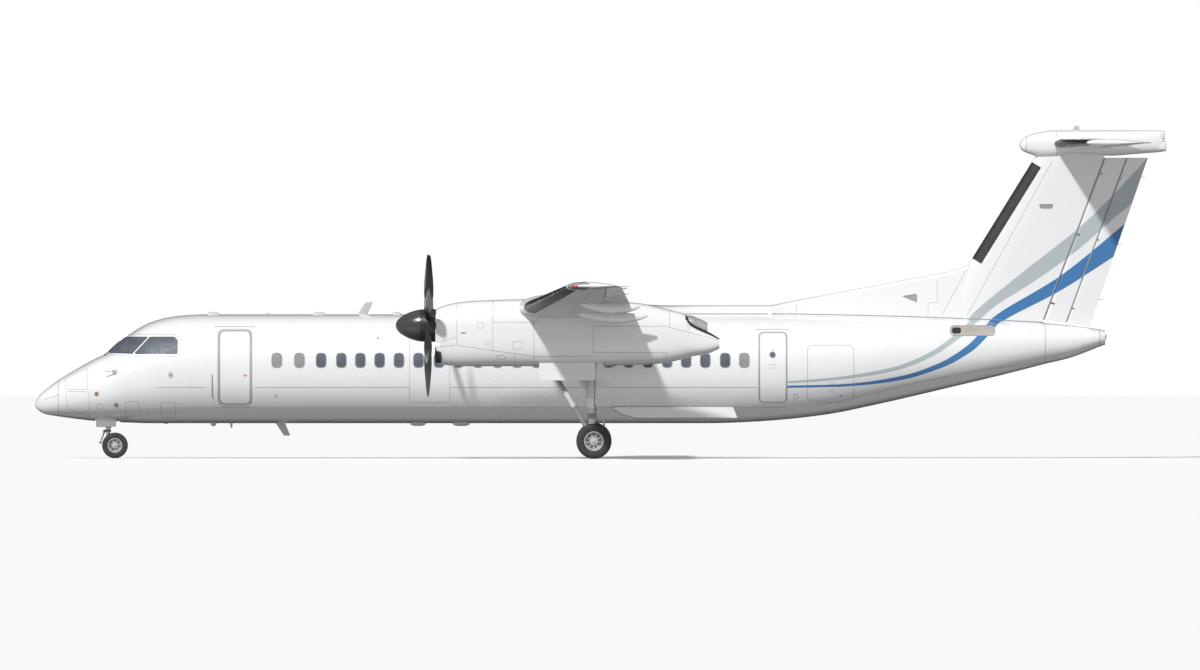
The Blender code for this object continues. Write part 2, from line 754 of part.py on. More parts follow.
# Share of the fin's depth ahead of the rudder, and width as a share of its greatest
FIN_WIDTHS = ((0.0, 0.0), (0.02, 0.36), (0.07, 0.62), (0.18, 0.87), (0.36, 1.0), (0.60, 0.97), (1.0, 1.0))
fin_rings = []
for z in (3.60, 4.073, 5.590, 7.1, 8.594, 9.000):
    lead = between(FIN, z, 1)
    rear = on_line(RUDDER_HINGE, z) - rudder_half(0, z) / RAKE - NOSE_CLEAR
    half = between(FIN, z, 3) / 2
    end_half = rudder_half(0, z)
    ring = []
    for share, width in FIN_WIDTHS:
        wide = half * width
        if share > 0.36:
            wide = half + (end_half - half) * ((share - 0.36) / 0.64) ** 1.4
        ring.append((lead + share * (rear - lead), wide))
    fin_rings.append([(x, -w, z) for x, w in ring] + [(x, w, z) for x, w in ring[:0:-1]])


def fin_solid(name, mat, cutter=False, grow=0.0):
    rings = []
    for ring in fin_rings:
        grown = []
        for x, y, z in ring:
            push = -grow if y == 0 else 0.0
            grown.append((x + push, y + math.copysign(grow, y) if y else 0.0, z))
        rings.append(grown)
    return loft(name, rings, mat, cutter)


fin = fin_solid("fin", FIN_BLUE)
cut(fin, hull_cutter)

# Bullet fairing on the fin: x, top z, bottom z, half width
BULLET = (
    (12.165, 9.165, 9.010, 0.095),
    (12.222, 9.237, 8.930, 0.170),
    (12.356, 9.333, 8.859, 0.225),
    (12.572, 9.417, 8.780, 0.275),
    (12.825, 9.464, 8.728, 0.310),
    (13.065, 9.500, 8.714, 0.335),
    (13.400, 9.506, 8.750, 0.350),
    (13.740, 9.506, 8.800, 0.350),
    (14.300, 9.506, 8.800, 0.342),
    (14.800, 9.506, 8.772, 0.328),
    (15.500, 9.506, 8.822, 0.290),
    (16.250, 9.500, 8.880, 0.200),
    (16.405, 9.420, 8.930, 0.120),
)


def bullet_loft(name, mat, cutter=False, grow=0.0):
    rings = []
    for x, top, bottom, half in BULLET:
        rings.append(oval(x, 0, top + grow, bottom - grow, half + grow, 20, 2.3))
    return loft(name, rings, mat, cutter)


bullet = bullet_loft("fin_bullet", WHITE)
bullet_cutter = bullet_loft("bullet_cutter", None, True, GAP)
cut(fin, bullet_cutter)

# Stabiliser: y, leading edge x, trailing edge x, thickness
STABILISER_Z = 9.125
STABILISER = (
    (0.00, 13.129, 15.803, 0.350),
    (0.36, 13.129, 15.803, 0.350),
    (4.525, 14.036, 15.760, 0.195),
    (4.600, 14.120, 15.740, 0.170),
    (4.635, 14.300, 15.600, 0.060),
)


def elevator_share(y):
    lead, rear = between(STABILISER, abs(y), 1), between(STABILISER, abs(y), 2)
    return (ELEVATOR_HINGE_X - lead) / (rear - lead)


def stab_rear(y):
    """Chord share where the stabiliser ends, ahead of the elevator's nose."""
    lead, rear, thick = (between(STABILISER, abs(y), i) for i in (1, 2, 3))
    radius = thick * between(TAILFOIL, elevator_share(y), 1)
    return (ELEVATOR_HINGE_X - radius - 0.016 - lead) / (rear - lead)


def stab_loft(name, mat, cutter=False, grow=0.0):
    rings = []
    tips = ((4.520, 0), (4.525, 1), (4.600, 1), (4.635, 1))
    for y, full in [(-a, b) for a, b in reversed(tips)] + [(-0.36, 0), (0.36, 0)] + list(tips):
        lead, rear, thick = (between(STABILISER, abs(y), i) for i in (1, 2, 3))
        share = stab_rear(y)
        rows = []
        for i in range(9):
            c = share * (i / 8) ** 1.8
            rows.append((lead + c * (rear - lead), thick * between(TAILFOIL, c, 1) + (grow if i else 0.0)))
        for i in range(1, 5):
            c = share + (1 - share) * i / 4
            if full:
                rows.append((lead + c * (rear - lead), thick * between(TAILFOIL, c, 1) + grow))
            else:
                rows.append((rows[8][0] + grow * 0.25 * i, rows[8][1] * (1 - i / 4) + 0.002))
        rows[0] = (rows[0][0] - grow, 0.0)
        over = [(x, y, STABILISER_Z + t) for x, t in rows]
        under = [(x, y, STABILISER_Z - t) for x, t in rows[:0:-1]]
        rings.append(over + under)
    return loft(name, rings, mat, cutter)


stabilizer = stab_loft("stabilizer", WHITE)
cut(bullet, stab_loft("stabilizer_cutter", None, True, GAP))

for label, side in SIDES:
    rings = []
    for y in ELEVATOR_Y:
        lead, rear, thick = (between(STABILISER, y, i) for i in (1, 2, 3))
        ring = nosed_ring(TAILFOIL, lead, rear - lead, thick, STABILISER_Z, elevator_share(y))
        rings.append([(x, side * y, z) for x, z in ring])
    origin = (ELEVATOR_HINGE_X, side * ELEVATOR_Y[0], STABILISER_Z)
    elevator = loft("elevator_" + label, rings, WHITE, origin=origin)
    for i, y in enumerate(ELEVATOR_ARMS):
        point = (ELEVATOR_HINGE_X, side * y, STABILISER_Z)
        name = "elevator_arm_%s_%d" % (label, i)
        hinge_bracket(name, stabilizer, elevator, point, (0, 1, 0), 0.13, 0.025)

# Rudder in two parts: the forward one on the fin, the trailing one on the forward one
SPLIT_CLEAR = 0.010


def rudder_ring(z, front, back, front_half, back_half, back_clear):
    """A round nose about the front line, then straight to the back line."""
    radius = front_half
    points = []
    for i in range(7):
        angle = math.radians(90 + 30 * i)
        points.append((front + radius / RAKE * math.cos(angle), radius * math.sin(angle)))
    rear = back - back_clear
    points.append((rear, -back_half))
    points.append((rear, back_half))
    return [(x, y, z) for x, y in points]


rudders = {}
for name, front, back, columns, clear in (
    ("rudder_fore", RUDDER_HINGE, RUDDER_SPLIT, (0, 1), True),
    ("rudder_trailing", RUDDER_SPLIT, RUDDER_EDGE, (1, 2), False),
):
    rings = []
    for level in (0.0, 0.5, 1.0):
        bottom = front[0][1] + 0.015
        z = bottom + level * (RUDDER_TOP - bottom)
        gap_here = rudder_half(1, z) / RAKE + SPLIT_CLEAR if clear else 0.0
        front_half, back_half = rudder_half(columns[0], z), rudder_half(columns[1], z)
        ring = rudder_ring(z, on_line(front, z), on_line(back, z), front_half, back_half, gap_here)
        if level == 0.0:
            # The foot follows the fuselage's slope.
            drop = (back[0][1] - front[0][1]) / (back[0][0] - front[0][0])
            lean = (front[1][0] - front[0][0]) / (front[1][1] - front[0][1])
            start = ring[0][0]
            ring = [(x + lean * drop * (x - start), y, z + drop * (x - start)) for x, y, level_z in ring]
        rings.append(ring)
    rudders[name] = loft(name, rings, FIN_BLUE, origin=(front[0][0], 0, front[0][1]))

# Hinge arms at three heights, and those of the trailing part a little lower
fore, trailing = rudders["rudder_fore"], rudders["rudder_trailing"]
for i, z in enumerate((4.48, 6.47, 8.25)):
    axis = (RUDDER_RUN, 0, RUDDER_RISE)
    point = (on_line(RUDDER_HINGE, z), 0, z)
    hinge_bracket("rudder_arm_%d" % i, fin, fore, point, axis, 0.16, 0.03)
    axis = (RUDDER_SPLIT[1][0] - RUDDER_SPLIT[0][0], 0, RUDDER_SPLIT[1][1] - RUDDER_SPLIT[0][1])
    point = (on_line(RUDDER_SPLIT, z - 0.15), 0, z - 0.15)
    hinge_bracket("split_arm_%d" % i, fore, trailing, point, axis, 0.10, 0.02)

# Dorsal fin from the spine to the fin: x, top z, half width at the top and at the foot
DORSAL = (
    (4.925, 4.430, 0.330, 0.360),
    (5.489, 4.543, 0.230, 0.340),
    (6.648, 4.760, 0.150, 0.310),
    (7.807, 4.977, 0.130, 0.290),
    (8.966, 5.195, 0.120, 0.270),
    (10.125, 5.412, 0.110, 0.255),
    (10.652, 5.588, 0.105, 0.250),
)
rings = []
for x, top, crest, foot in DORSAL:
    profile = [(-foot, 3.55), (-foot, 3.9), (-foot * 0.93, 4.08)]
    profile += [(-crest, top - 0.12), (-crest * 0.55, top - 0.02)]
    ring = [(x, y, z) for y, z in profile]
    ring.append((x, 0.0, top))
    ring += [(x, -y, z) for y, z in reversed(profile)]
    rings.append(ring)
dorsal = loft("dorsal_fin", rings, WHITE)
cut(dorsal, hull_cutter)
cut(dorsal, fin_solid("fin_cutter", None, True, GAP))

# Pack fairings along the belly's sides
STRAKE = ((0.30, 1.466), (0.45, 1.500), (3.84, 1.500), (3.975, 1.168), (1.01, 1.163), (0.62, 1.27))
for label, side in SIDES:
    face = hull_side(1.0, 1.50) + 0.012
    strake = prism("strake_" + label, STRAKE, 1, side * 0.5, side * face, None, True)
    join(sections["cabin_section"], strake)

# Landing gear
LEG_X = -0.262
LEG_RADIUS = 0.155
PISTON_RADIUS = 0.10
AXLE_RADIUS = 0.045
AXLE_SIDES = 20
# (x, z) where the casing meets the piston, the drag strut's ends and the ends of the two links
CASING_END = 1.405
STRUT_TOP = (-1.62, 2.925)
STRUT_FOOT = (-0.37, 0.84)
STRUT_RADIUS = 0.075
PIN_RADIUS = 0.06
UPPER_LINK = ((-0.14, 1.50), (0.10, 1.03))
LOWER_LINK = ((-0.17, 0.66), (0.10, 0.955))
LINK_RADIUS = 0.032
WEB = [(-0.60, 2.26), (-0.20, 2.26), (-0.30, 1.83)]
BOSS_HALF = 0.175
BOSS_RADIUS = 0.085


def bar(name, y, ends, radius, sides):
    """A cutter rod between two places of the side view, in the plane of one y."""
    (x0, z0), (x1, z1) = ends
    return rod(name, (x0, y, z0), (x1, y, z1), radius, None, True, sides=sides)


for label, side in SIDES:
    y = side * NACELLE_Y
    leg = rod("main_leg_" + label, (LEG_X, y, BAY[1][1] - GAP), (LEG_X, y, CASING_END), LEG_RADIUS, GEAR_WHITE)
    strut = bar("drag_strut_" + label, y, (STRUT_TOP, STRUT_FOOT), STRUT_RADIUS, 16)
    pin_ends = [(STRUT_TOP[0], y + edge * (BAY_HALF - GAP), STRUT_TOP[1]) for edge in (-1, 1)]
    pin = rod("strut_pin_" + label, *pin_ends, PIN_RADIUS, None, True, sides=16)
    brace = prism("leg_web_" + label, WEB, 1, y - 0.03, y + 0.03, None, True)
    link = bar("upper_link_" + label, y, UPPER_LINK, LINK_RADIUS, 12)
    for piece in (brace, link):
        join(leg, piece)
    piston_top = (LEG_X, y, CASING_END - GAP)
    piston = rod("main_axle_" + label, piston_top, (LEG_X, y, 0.60), PISTON_RADIUS, STEEL)
    boss_ends = [(MAIN_WHEEL_X, y + edge * BOSS_HALF, MAIN_TYRE_RADIUS) for edge in (-1, 1)]
    foot = rod("axle_boss_" + label, *boss_ends, BOSS_RADIUS, None, True)
    knuckle = box("knuckle_" + label, (-0.34, y - 0.07, 0.50), (-0.13, y + 0.07, 0.92), None, True)
    lower = bar("lower_link_" + label, y, LOWER_LINK, LINK_RADIUS, 12)
    hole = rod(
        "axle_hole_" + label,
        (MAIN_WHEEL_X, y - 0.5, MAIN_TYRE_RADIUS),
        (MAIN_WHEEL_X, y + 0.5, MAIN_TYRE_RADIUS),
        (AXLE_RADIUS + GAP) / math.cos(math.pi / AXLE_SIDES),
        None,
        True,
        sides=AXLE_SIDES,
    )
    for piece in (foot, knuckle, lower, strut, pin):
        join(piston, piece)
    cut(piston, hole)
    for kind, edge in (("inner", -side), ("outer", side)):
        low = y + edge * (BAY_HALF - GAP)
        high = low - edge * 0.03
        box(
            "main_gear_door_%s_%s" % (kind, label),
            (-1.772, min(low, high), 2.262),
            (-0.155, max(low, high), 2.800),
            WHITE,
        )


def tyre_profile(radius, width, rim):
    """Closed outline of a tyre, from its crown round to the bead."""
    half = width / 2
    return [
        (radius, 0.0),
        (radius * 0.992, half * 0.45),
        (radius * 0.955, half * 0.82),
        (radius * 0.86, half),
        (radius * 0.72, half * 0.93),
        (rim, half * 0.72),
        (rim, -half * 0.72),
        (radius * 0.72, -half * 0.93),
        (radius * 0.86, -half),
        (radius * 0.955, -half * 0.82),
        (radius * 0.992, -half * 0.45),
    ]


def rim_profile(rim, width):
    """A wheel's outline, dished on both faces, from the axle outward."""
    half = width / 2
    return [
        (0, half * 0.62),
        (rim * 0.38, half * 0.62),
        (rim * 0.50, half * 0.30),
        (rim * 0.80, half * 0.30),
        (rim * 0.88, half * 0.70),
        (rim, half * 0.70),
        (rim, -half * 0.70),
        (rim * 0.88, -half * 0.70),
        (rim * 0.80, -half * 0.30),
        (rim * 0.50, -half * 0.30),
        (rim * 0.38, -half * 0.62),
        (0, -half * 0.62),
    ]


TYRE_STEPS = 22


def twin_wheels(name, tyre_names, x, y, radius, width, offset, rim, axle):
    ends = [(x, y - offset, radius), (x, y + offset, radius)]
    body = turned(name, rim_profile(rim, width), ends[0], "Y", WHEEL, TYRE_STEPS)
    far = turned(name + "_far", rim_profile(rim, width), ends[1], "Y", None, TYRE_STEPS, True)
    shaft = rod(name + "_shaft", *ends, axle, None, True, sides=AXLE_SIDES)
    join(body, far)
    join(body, shaft)
    for tyre, centre in zip(tyre_names, ends):
        turned(tyre, tyre_profile(radius, width, rim + GAP), centre, "Y", RUBBER, TYRE_STEPS)


for label, side in SIDES:
    order = ("inner", "outer") if side > 0 else ("outer", "inner")
    twin_wheels(
        "main_rims_" + label,
        ["main_tyre_%s_%s" % (kind, label) for kind in order],
        MAIN_WHEEL_X,
        side * NACELLE_Y,
        MAIN_TYRE_RADIUS,
        MAIN_TYRE_WIDTH,
        MAIN_WHEEL_OFFSET,
        0.272,
        AXLE_RADIUS,
    )

# Jacking pads: a disc under the nose and one under each nacelle
PAD_RADIUS = 0.06
PADS = (
    ("nose_section", -12.60, 0.0, 0.995),
    ("nacelle_left", 0.42, -NACELLE_Y, 2.668),
    ("nacelle_right", 0.42, NACELLE_Y, 2.668),
)
for name, x, y, z in PADS:
    join(bpy.data.objects[name], rod("pad_" + name, (x, y, z + 0.12), (x, y, z), PAD_RADIUS, None, True))

# Nose gear
NOSE_BAY = ((-14.66, -0.26, 0.8), (-13.93, 0.26, 1.50))
cut(sections["nose_section"], box("nose_bay_cutter", *NOSE_BAY, None, cutter=True))
rod("nose_leg", (NOSE_LEG_X, 0, 1.50 - GAP), (NOSE_LEG_X, 0, 0.88), 0.09, GEAR_WHITE)
fork = rod("nose_fork", (NOSE_LEG_X, 0, 0.88 - GAP), (NOSE_LEG_X, 0, 0.40), 0.065, STEEL)
arm = prism(
    "nose_arm",
    [
        (NOSE_LEG_X - 0.07, 0.47),
        (NOSE_LEG_X - 0.03, 0.34),
        (NOSE_WHEEL_X, 0.30),
        (NOSE_WHEEL_X + 0.06, NOSE_TYRE_RADIUS),
        (NOSE_WHEEL_X, 0.44),
        (NOSE_LEG_X + 0.06, 0.50),
    ],
    1,
    -0.055,
    0.055,
    None,
    True,
)
nose_link = bar("nose_link", 0, ((NOSE_LEG_X, 0.80), (NOSE_LEG_X - 0.13, 0.75)), 0.03, 12)
nose_link_low = bar("nose_link_low", 0, ((NOSE_LEG_X - 0.12, 0.76), (NOSE_LEG_X - 0.02, 0.42)), 0.028, 12)
for piece in (arm, nose_link, nose_link_low):
    join(fork, piece)
cut(
    fork,
    rod(
        "nose_axle_hole",
        (NOSE_WHEEL_X, -0.5, NOSE_TYRE_RADIUS),
        (NOSE_WHEEL_X, 0.5, NOSE_TYRE_RADIUS),
        (0.035 + GAP) / math.cos(math.pi / AXLE_SIDES),
        None,
        True,
        sides=AXLE_SIDES,
    ),
)
twin_wheels(
    "nose_rims",
    ["nose_tyre_left", "nose_tyre_right"],
    NOSE_WHEEL_X,
    0.0,
    NOSE_TYRE_RADIUS,
    NOSE_TYRE_WIDTH,
    NOSE_WHEEL_OFFSET,
    0.203,
    0.035,
)
for label, side in SIDES:
    low, high = sorted((side * (0.26 - GAP), side * (0.26 - GAP - 0.022)))
    box("nose_door_" + label, (-14.63, low, 0.90), (-14.05, high, 1.20), WHITE)

# Propellers: hub band with its blades and shaft, and the spinner's dome
for label, side in SIDES:
    y = side * NACELLE_Y
    turned(
        "spinner_" + label,
        [
            (0, -5.915), (0.11, -5.885), (0.22, -5.79), (0.33, -5.62),
            (0.42, -5.40), (0.462, -5.205), (0, -5.205),
        ],
        (0, y, SHAFT_Z),
        "X",
        DARK,
        26,
    )
    hub = turned(
        "propeller_" + label,
        [
            (0, -5.205 + GAP), (0.462, -5.205 + GAP), (0.474, -4.98), (0.474, -4.765),
            (0.10, -4.765), (0.10, -4.43 - GAP), (0, -4.43 - GAP),
        ],
        (0, y, SHAFT_Z),
        "X",
        BLADE,
        26,
    )
    # Blade: distance from the axis, chord, thickness, twist from the disc's plane in degrees
    blade_rows = (
        (0.40, 0.14, 0.130, 60), (0.58, 0.16, 0.110, 58), (0.90, 0.29, 0.065, 47), (1.30, 0.36, 0.040, 34),
        (1.75, 0.33, 0.024, 22), (1.98, 0.22, 0.015, 18), (PROP_RADIUS, 0.11, 0.008, 17),
    )
    for i in range(BLADES):
        spin = 2 * math.pi * i / BLADES
        rings = []
        for reach, chord, thick, twist in blade_rows:
            ring = []
            for k in range(8):
                angle = 2 * math.pi * k / 8
                along = 0.5 * chord * math.cos(angle)
                off = 0.5 * thick * math.sin(angle)
                t = math.radians(twist)
                axial = along * math.sin(t) + off * math.cos(t)
                across = along * math.cos(t) - off * math.sin(t)
                ring.append(
                    (
                        PROP_X + axial,
                        y + reach * math.sin(spin) + across * math.cos(spin),
                        SHAFT_Z + reach * math.cos(spin) - across * math.sin(spin),
                    )
                )
            rings.append(ring)
        join(hub, loft("blade_%s_%d" % (label, i), rings, None, True))

bpy.context.view_layer.update()
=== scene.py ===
"""Looks of the twin turboprop airliner: smooth skins, glass, paint, trim, running gear and a plain studio.

Every piece is in metres in the frame's own axes: +X aft, +Y starboard, +Z up.
"""

import bisect
import math

import bmesh
import bpy
from mathutils import Matrix, Vector
from mathutils.bvhtree import BVHTree


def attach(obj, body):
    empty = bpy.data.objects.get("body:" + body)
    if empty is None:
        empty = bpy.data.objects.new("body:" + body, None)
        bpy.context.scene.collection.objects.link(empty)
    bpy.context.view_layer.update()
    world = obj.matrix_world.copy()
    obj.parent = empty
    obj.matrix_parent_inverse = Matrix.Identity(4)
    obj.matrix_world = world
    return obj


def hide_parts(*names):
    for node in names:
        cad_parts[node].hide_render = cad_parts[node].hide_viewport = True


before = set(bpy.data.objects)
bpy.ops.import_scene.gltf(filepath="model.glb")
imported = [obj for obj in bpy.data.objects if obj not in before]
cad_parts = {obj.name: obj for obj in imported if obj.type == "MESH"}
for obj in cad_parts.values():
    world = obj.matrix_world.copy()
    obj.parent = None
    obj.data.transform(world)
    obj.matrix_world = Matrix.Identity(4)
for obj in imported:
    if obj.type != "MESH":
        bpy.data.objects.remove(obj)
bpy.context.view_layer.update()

scene = bpy.context.scene
SIDES = (("left", -1), ("right", 1))
HANDS = {-1: "port", 1: "starboard"}

# Side view of the reference picture: metres in a pixel, and the pixel of the origin
PIXEL = 0.028972
ORIGIN_PIXEL = (600.55, 458.3)


def spot(px, py):
    """(x, z) in metres of a pixel of the side view."""
    return ((px - ORIGIN_PIXEL[0]) * PIXEL, (ORIGIN_PIXEL[1] - py) * PIXEL)


def spots(*pixels):
    return [spot(px, py) for px, py in pixels]


# Finishes
COAT_ROUGHNESS = 0.12
GLOSS_SPREAD = 0.07
LEAST_ROUGHNESS = 0.02
GRAIN_DEPTH = 0.004
CLOUD_DETAIL, GRIME_DETAIL, GLOSS_DETAIL, GRAIN_DETAIL = 5.0, 8.0, 4.0, 3.0
# How much finer grime and gloss are than the clouds
GRIME_FINER, GLOSS_FINER = 3.7, 6
# Noise values between which a finish goes from one state to the other
CLOUD_RANGE = (0.35, 0.65)
GRIME_RANGE = (0.56, 0.80)


def map_range(nodes, links, value, source, target=(0.0, 1.0)):
    """A node that spreads a value from one (low, high) range over another."""
    ranged = nodes.new("ShaderNodeMapRange")
    for name, (low, high) in (("From", source), ("To", target)):
        ranged.inputs[name + " Min"].default_value = low
        ranged.inputs[name + " Max"].default_value = high
    links.new(value, ranged.inputs["Value"])
    return ranged


def finish(
    name, colour, roughness=0.4, metallic=0.0, mottle=0.08, mottle_scale=0.9, stretch=(1, 1, 1),
    grain=0.06, grain_scale=90.0, coat=0.0, coat_ior=1.5, dirt=(0.25, 0.24, 0.22), dirt_share=0.0,
):
    """A painted, cast or moulded surface: clouded colour, streaks of grime, uneven gloss and a fine grain."""
    made = bpy.data.materials.new(name)
    made.use_nodes = True
    nodes, links = made.node_tree.nodes, made.node_tree.links
    shader = nodes["Principled BSDF"]
    shader.inputs["Metallic"].default_value = metallic
    shader.inputs["Coat Weight"].default_value = coat
    shader.inputs["Coat Roughness"].default_value = COAT_ROUGHNESS
    shader.inputs["Coat IOR"].default_value = coat_ior

    where = nodes.new("ShaderNodeTexCoord")
    turned = nodes.new("ShaderNodeMapping")
    turned.inputs["Scale"].default_value = stretch
    links.new(where.outputs["Object"], turned.inputs["Vector"])

    def noise(scale, detail, source):
        made_noise = nodes.new("ShaderNodeTexNoise")
        made_noise.inputs["Scale"].default_value = scale
        made_noise.inputs["Detail"].default_value = detail
        links.new(source, made_noise.inputs["Vector"])
        return made_noise.outputs["Fac"]

    def spread(value, low, high, source=CLOUD_RANGE):
        return map_range(nodes, links, value, source, (low, high)).outputs["Result"]

    def mixed(share, first, second):
        mix = nodes.new("ShaderNodeMix")
        mix.data_type = "RGBA"
        links.new(share, mix.inputs["Factor"])
        for socket, value in (("A", first), ("B", second)):
            target = [s for s in mix.inputs if s.name == socket and s.type == "RGBA"][0]
            if isinstance(value, tuple):
                target.default_value = (*value, 1)
            else:
                links.new(value, target)
        return [s for s in mix.outputs if s.type == "RGBA"][0]

    clouds = noise(mottle_scale, CLOUD_DETAIL, turned.outputs["Vector"])
    darker = tuple(c * (1 - mottle) for c in colour)
    base = mixed(spread(clouds, 0.0, 1.0), colour, darker)
    if dirt_share:
        grime = noise(mottle_scale * GRIME_FINER, GRIME_DETAIL, turned.outputs["Vector"])
        base = mixed(spread(grime, 0.0, dirt_share, GRIME_RANGE), base, dirt)
    links.new(base, shader.inputs["Base Color"])

    gloss = noise(mottle_scale * GLOSS_FINER, GLOSS_DETAIL, where.outputs["Object"])
    low, high = max(LEAST_ROUGHNESS, roughness - GLOSS_SPREAD), roughness + GLOSS_SPREAD
    links.new(spread(gloss, low, high), shader.inputs["Roughness"])

    fine = noise(grain_scale, GRAIN_DETAIL, where.outputs["Object"])
    bump = nodes.new("ShaderNodeBump")
    bump.inputs["Strength"].default_value = grain
    bump.inputs["Distance"].default_value = GRAIN_DEPTH
    links.new(fine, bump.inputs["Height"])
    links.new(bump.outputs["Normal"], shader.inputs["Normal"])
    return made


# How clouds and grime are drawn out: along the airflow, and in still places
AIRFLOW = (0.25, 1.3, 1.3)
CALM = (0.3, 0.3, 0.3)
WHITE = finish(
    "white_paint", (0.83, 0.835, 0.84), 0.30, mottle=0.018, stretch=AIRFLOW, grain=0.01,
    coat=1.0, coat_ior=1.7, dirt_share=0.018,
)
RADOME = finish(
    "radome_paint", (0.81, 0.815, 0.82), 0.36, mottle=0.018, stretch=AIRFLOW, grain=0.01,
    coat=1.0, coat_ior=1.6, dirt_share=0.02,
)
WING_WHITE = finish(
    "wing_white", (0.82, 0.825, 0.83), 0.60, mottle=0.012, stretch=CALM, grain=0.0, dirt_share=0.01
)
ANTENNA = finish("antenna_paint", (0.50, 0.51, 0.52), 0.40, mottle=0.05, stretch=CALM, coat=0.6)
LINE = finish("panel_line", (0.30, 0.31, 0.32), 0.6, mottle=0.15, grain=0.02)
FRAME_GREY = finish("frame_grey", (0.33, 0.34, 0.35), 0.45, mottle=0.10, grain=0.03)
SEAL = finish("door_seal", (0.36, 0.365, 0.37), 0.55, mottle=0.10, grain=0.05)
RUBBER_BOOT = finish(
    "deicer_rubber", (0.020, 0.020, 0.021), 0.42, mottle=0.25, mottle_scale=2.2, grain=0.12, grain_scale=60
)
GLASS = finish(
    "window_glass", (0.095, 0.115, 0.145), 0.50, mottle=0.30, mottle_scale=2.6, grain=0.0, coat=0.0
)
BLIND = finish(
    "drawn_window_shade", (0.27, 0.28, 0.29), 0.35, mottle=0.08, mottle_scale=6, grain=0.04, coat=0.5
)
BLUE = finish(
    "blue_stripe", (0.050, 0.190, 0.440), 0.28, mottle=0.10, mottle_scale=0.7, stretch=AIRFLOW, coat=0.4
)
GREY = finish("grey_stripe", (0.44, 0.50, 0.52), 0.30, mottle=0.06, stretch=AIRFLOW, coat=0.4)
SPINNER = finish(
    "spinner_paint", (0.075, 0.072, 0.072), 0.26, metallic=0.35, mottle=0.14, mottle_scale=3, coat=0.3
)
SPINNER_BAND = finish("spinner_band", (0.035, 0.034, 0.034), 0.34, metallic=0.25, mottle=0.16, mottle_scale=4)
BLADE = finish("blade_paint", (0.030, 0.030, 0.032), 0.36, mottle=0.25, mottle_scale=3, grain=0.05)
BLADE_EDGE = finish("blade_edge_nickel", (0.42, 0.42, 0.43), 0.28, metallic=1.0, mottle=0.15, mottle_scale=9)
TYRE = finish(
    "tyre_rubber", (0.045, 0.038, 0.035), 0.74, mottle=0.30, mottle_scale=7, grain=0.25, grain_scale=130,
    dirt=(0.15, 0.13, 0.11), dirt_share=0.25
)
WHEEL = finish(
    "wheel_paint", (0.62, 0.63, 0.64), 0.32, metallic=0.3, mottle=0.12, mottle_scale=14,
    dirt=(0.12, 0.11, 0.10), dirt_share=0.45
)
WHEEL_WEB = finish(
    "wheel_web", (0.27, 0.275, 0.28), 0.42, metallic=0.3, mottle=0.20, mottle_scale=14, dirt_share=0.3
)
# Near-black discs on the wheels' faces: painted shade standing for the lightening holes
WHEEL_HOLE_SHADE = finish("wheel_hole_painted_shade", (0.16, 0.16, 0.165), 0.50, metallic=0.4, mottle=0.25, mottle_scale=18)
GEAR_WHITE = finish(
    "gear_paint", (0.66, 0.67, 0.68), 0.36, mottle=0.10, mottle_scale=5, dirt=(0.16, 0.14, 0.12),
    dirt_share=0.30
)
GEAR_GREY = finish(
    "gear_grey", (0.34, 0.345, 0.35), 0.40, metallic=0.2, mottle=0.14, mottle_scale=6,
    dirt=(0.10, 0.09, 0.08), dirt_share=0.30
)
CHROME = finish(
    "piston_chrome", (0.78, 0.78, 0.79), 0.14, metallic=1.0, mottle=0.06, mottle_scale=9, grain=0.01
)
STEEL = finish("gear_steel", (0.42, 0.43, 0.44), 0.34, metallic=0.9, mottle=0.15, mottle_scale=9)
HOSE = finish("hose_rubber", (0.03, 0.03, 0.03), 0.55, mottle=0.2, mottle_scale=20)
EXHAUST = finish(
    "exhaust_steel", (0.74, 0.73, 0.71), 0.34, metallic=0.75, mottle=0.22, mottle_scale=4,
    dirt=(0.10, 0.07, 0.05), dirt_share=0.35
)
# Near-black: real soot in the exhaust bore, and painted shade inside the intake, its notch and the pack
# outlets' mouths
SOOT_AND_SHADE = finish("soot_and_painted_shade", (0.018, 0.017, 0.016), 0.75, mottle=0.3, mottle_scale=6)
BARE_METAL = finish("bare_aluminium", (0.66, 0.67, 0.68), 0.30, metallic=1.0, mottle=0.08, mottle_scale=8)
LINING = finish("entry_lining", (0.55, 0.54, 0.51), 0.55, mottle=0.06, mottle_scale=4, grain=0.10)
TREAD = finish(
    "step_tread", (0.045, 0.045, 0.048), 0.85, mottle=0.2, mottle_scale=14, grain=0.5, grain_scale=240
)
BAY_PAINT = finish("bay_primer", (0.30, 0.31, 0.29), 0.6, mottle=0.15, mottle_scale=3)
RED_LENS = finish("red_lens", (0.62, 0.03, 0.025), 0.15, mottle=0.1, mottle_scale=20, grain=0.0, coat=0.8)
GREEN_LENS = finish("green_lens", (0.02, 0.42, 0.12), 0.15, mottle=0.1, mottle_scale=20, grain=0.0, coat=0.8)
TIP_GLASS = finish("tip_glass", (0.30, 0.31, 0.33), 0.12, mottle=0.10, mottle_scale=6, grain=0.0, coat=0.8)
CLEAR_LENS = finish("clear_lens", (0.62, 0.66, 0.70), 0.08, mottle=0.06, mottle_scale=20, grain=0.0, coat=1.0)
RED_MARK = finish("red_mark", (0.70, 0.22, 0.20), 0.4, mottle=0.08, mottle_scale=9)
BRASS = finish("brass_port", (0.55, 0.36, 0.10), 0.35, metallic=0.8, mottle=0.12, mottle_scale=20)
DUCT_BEIGE = finish("duct_beige", (0.52, 0.49, 0.45), 0.42, metallic=0.3, mottle=0.14, mottle_scale=3)

# Mesh tools

# A raised line's foot below the surface, and the share of its width at the crown
BEAD_FOOT = 0.006
BEAD_CROWN = 0.75
BEVEL_ANGLE = math.radians(40)


def between(table, x, column):
    """Straight-line value of a table's column at x, where column 0 holds x."""
    if x <= table[0][0]:
        return table[0][column]
    for low, high in zip(table, table[1:]):
        if x <= high[0]:
            share = (x - low[0]) / (high[0] - low[0])
            return low[column] + share * (high[column] - low[column])
    return table[-1][column]


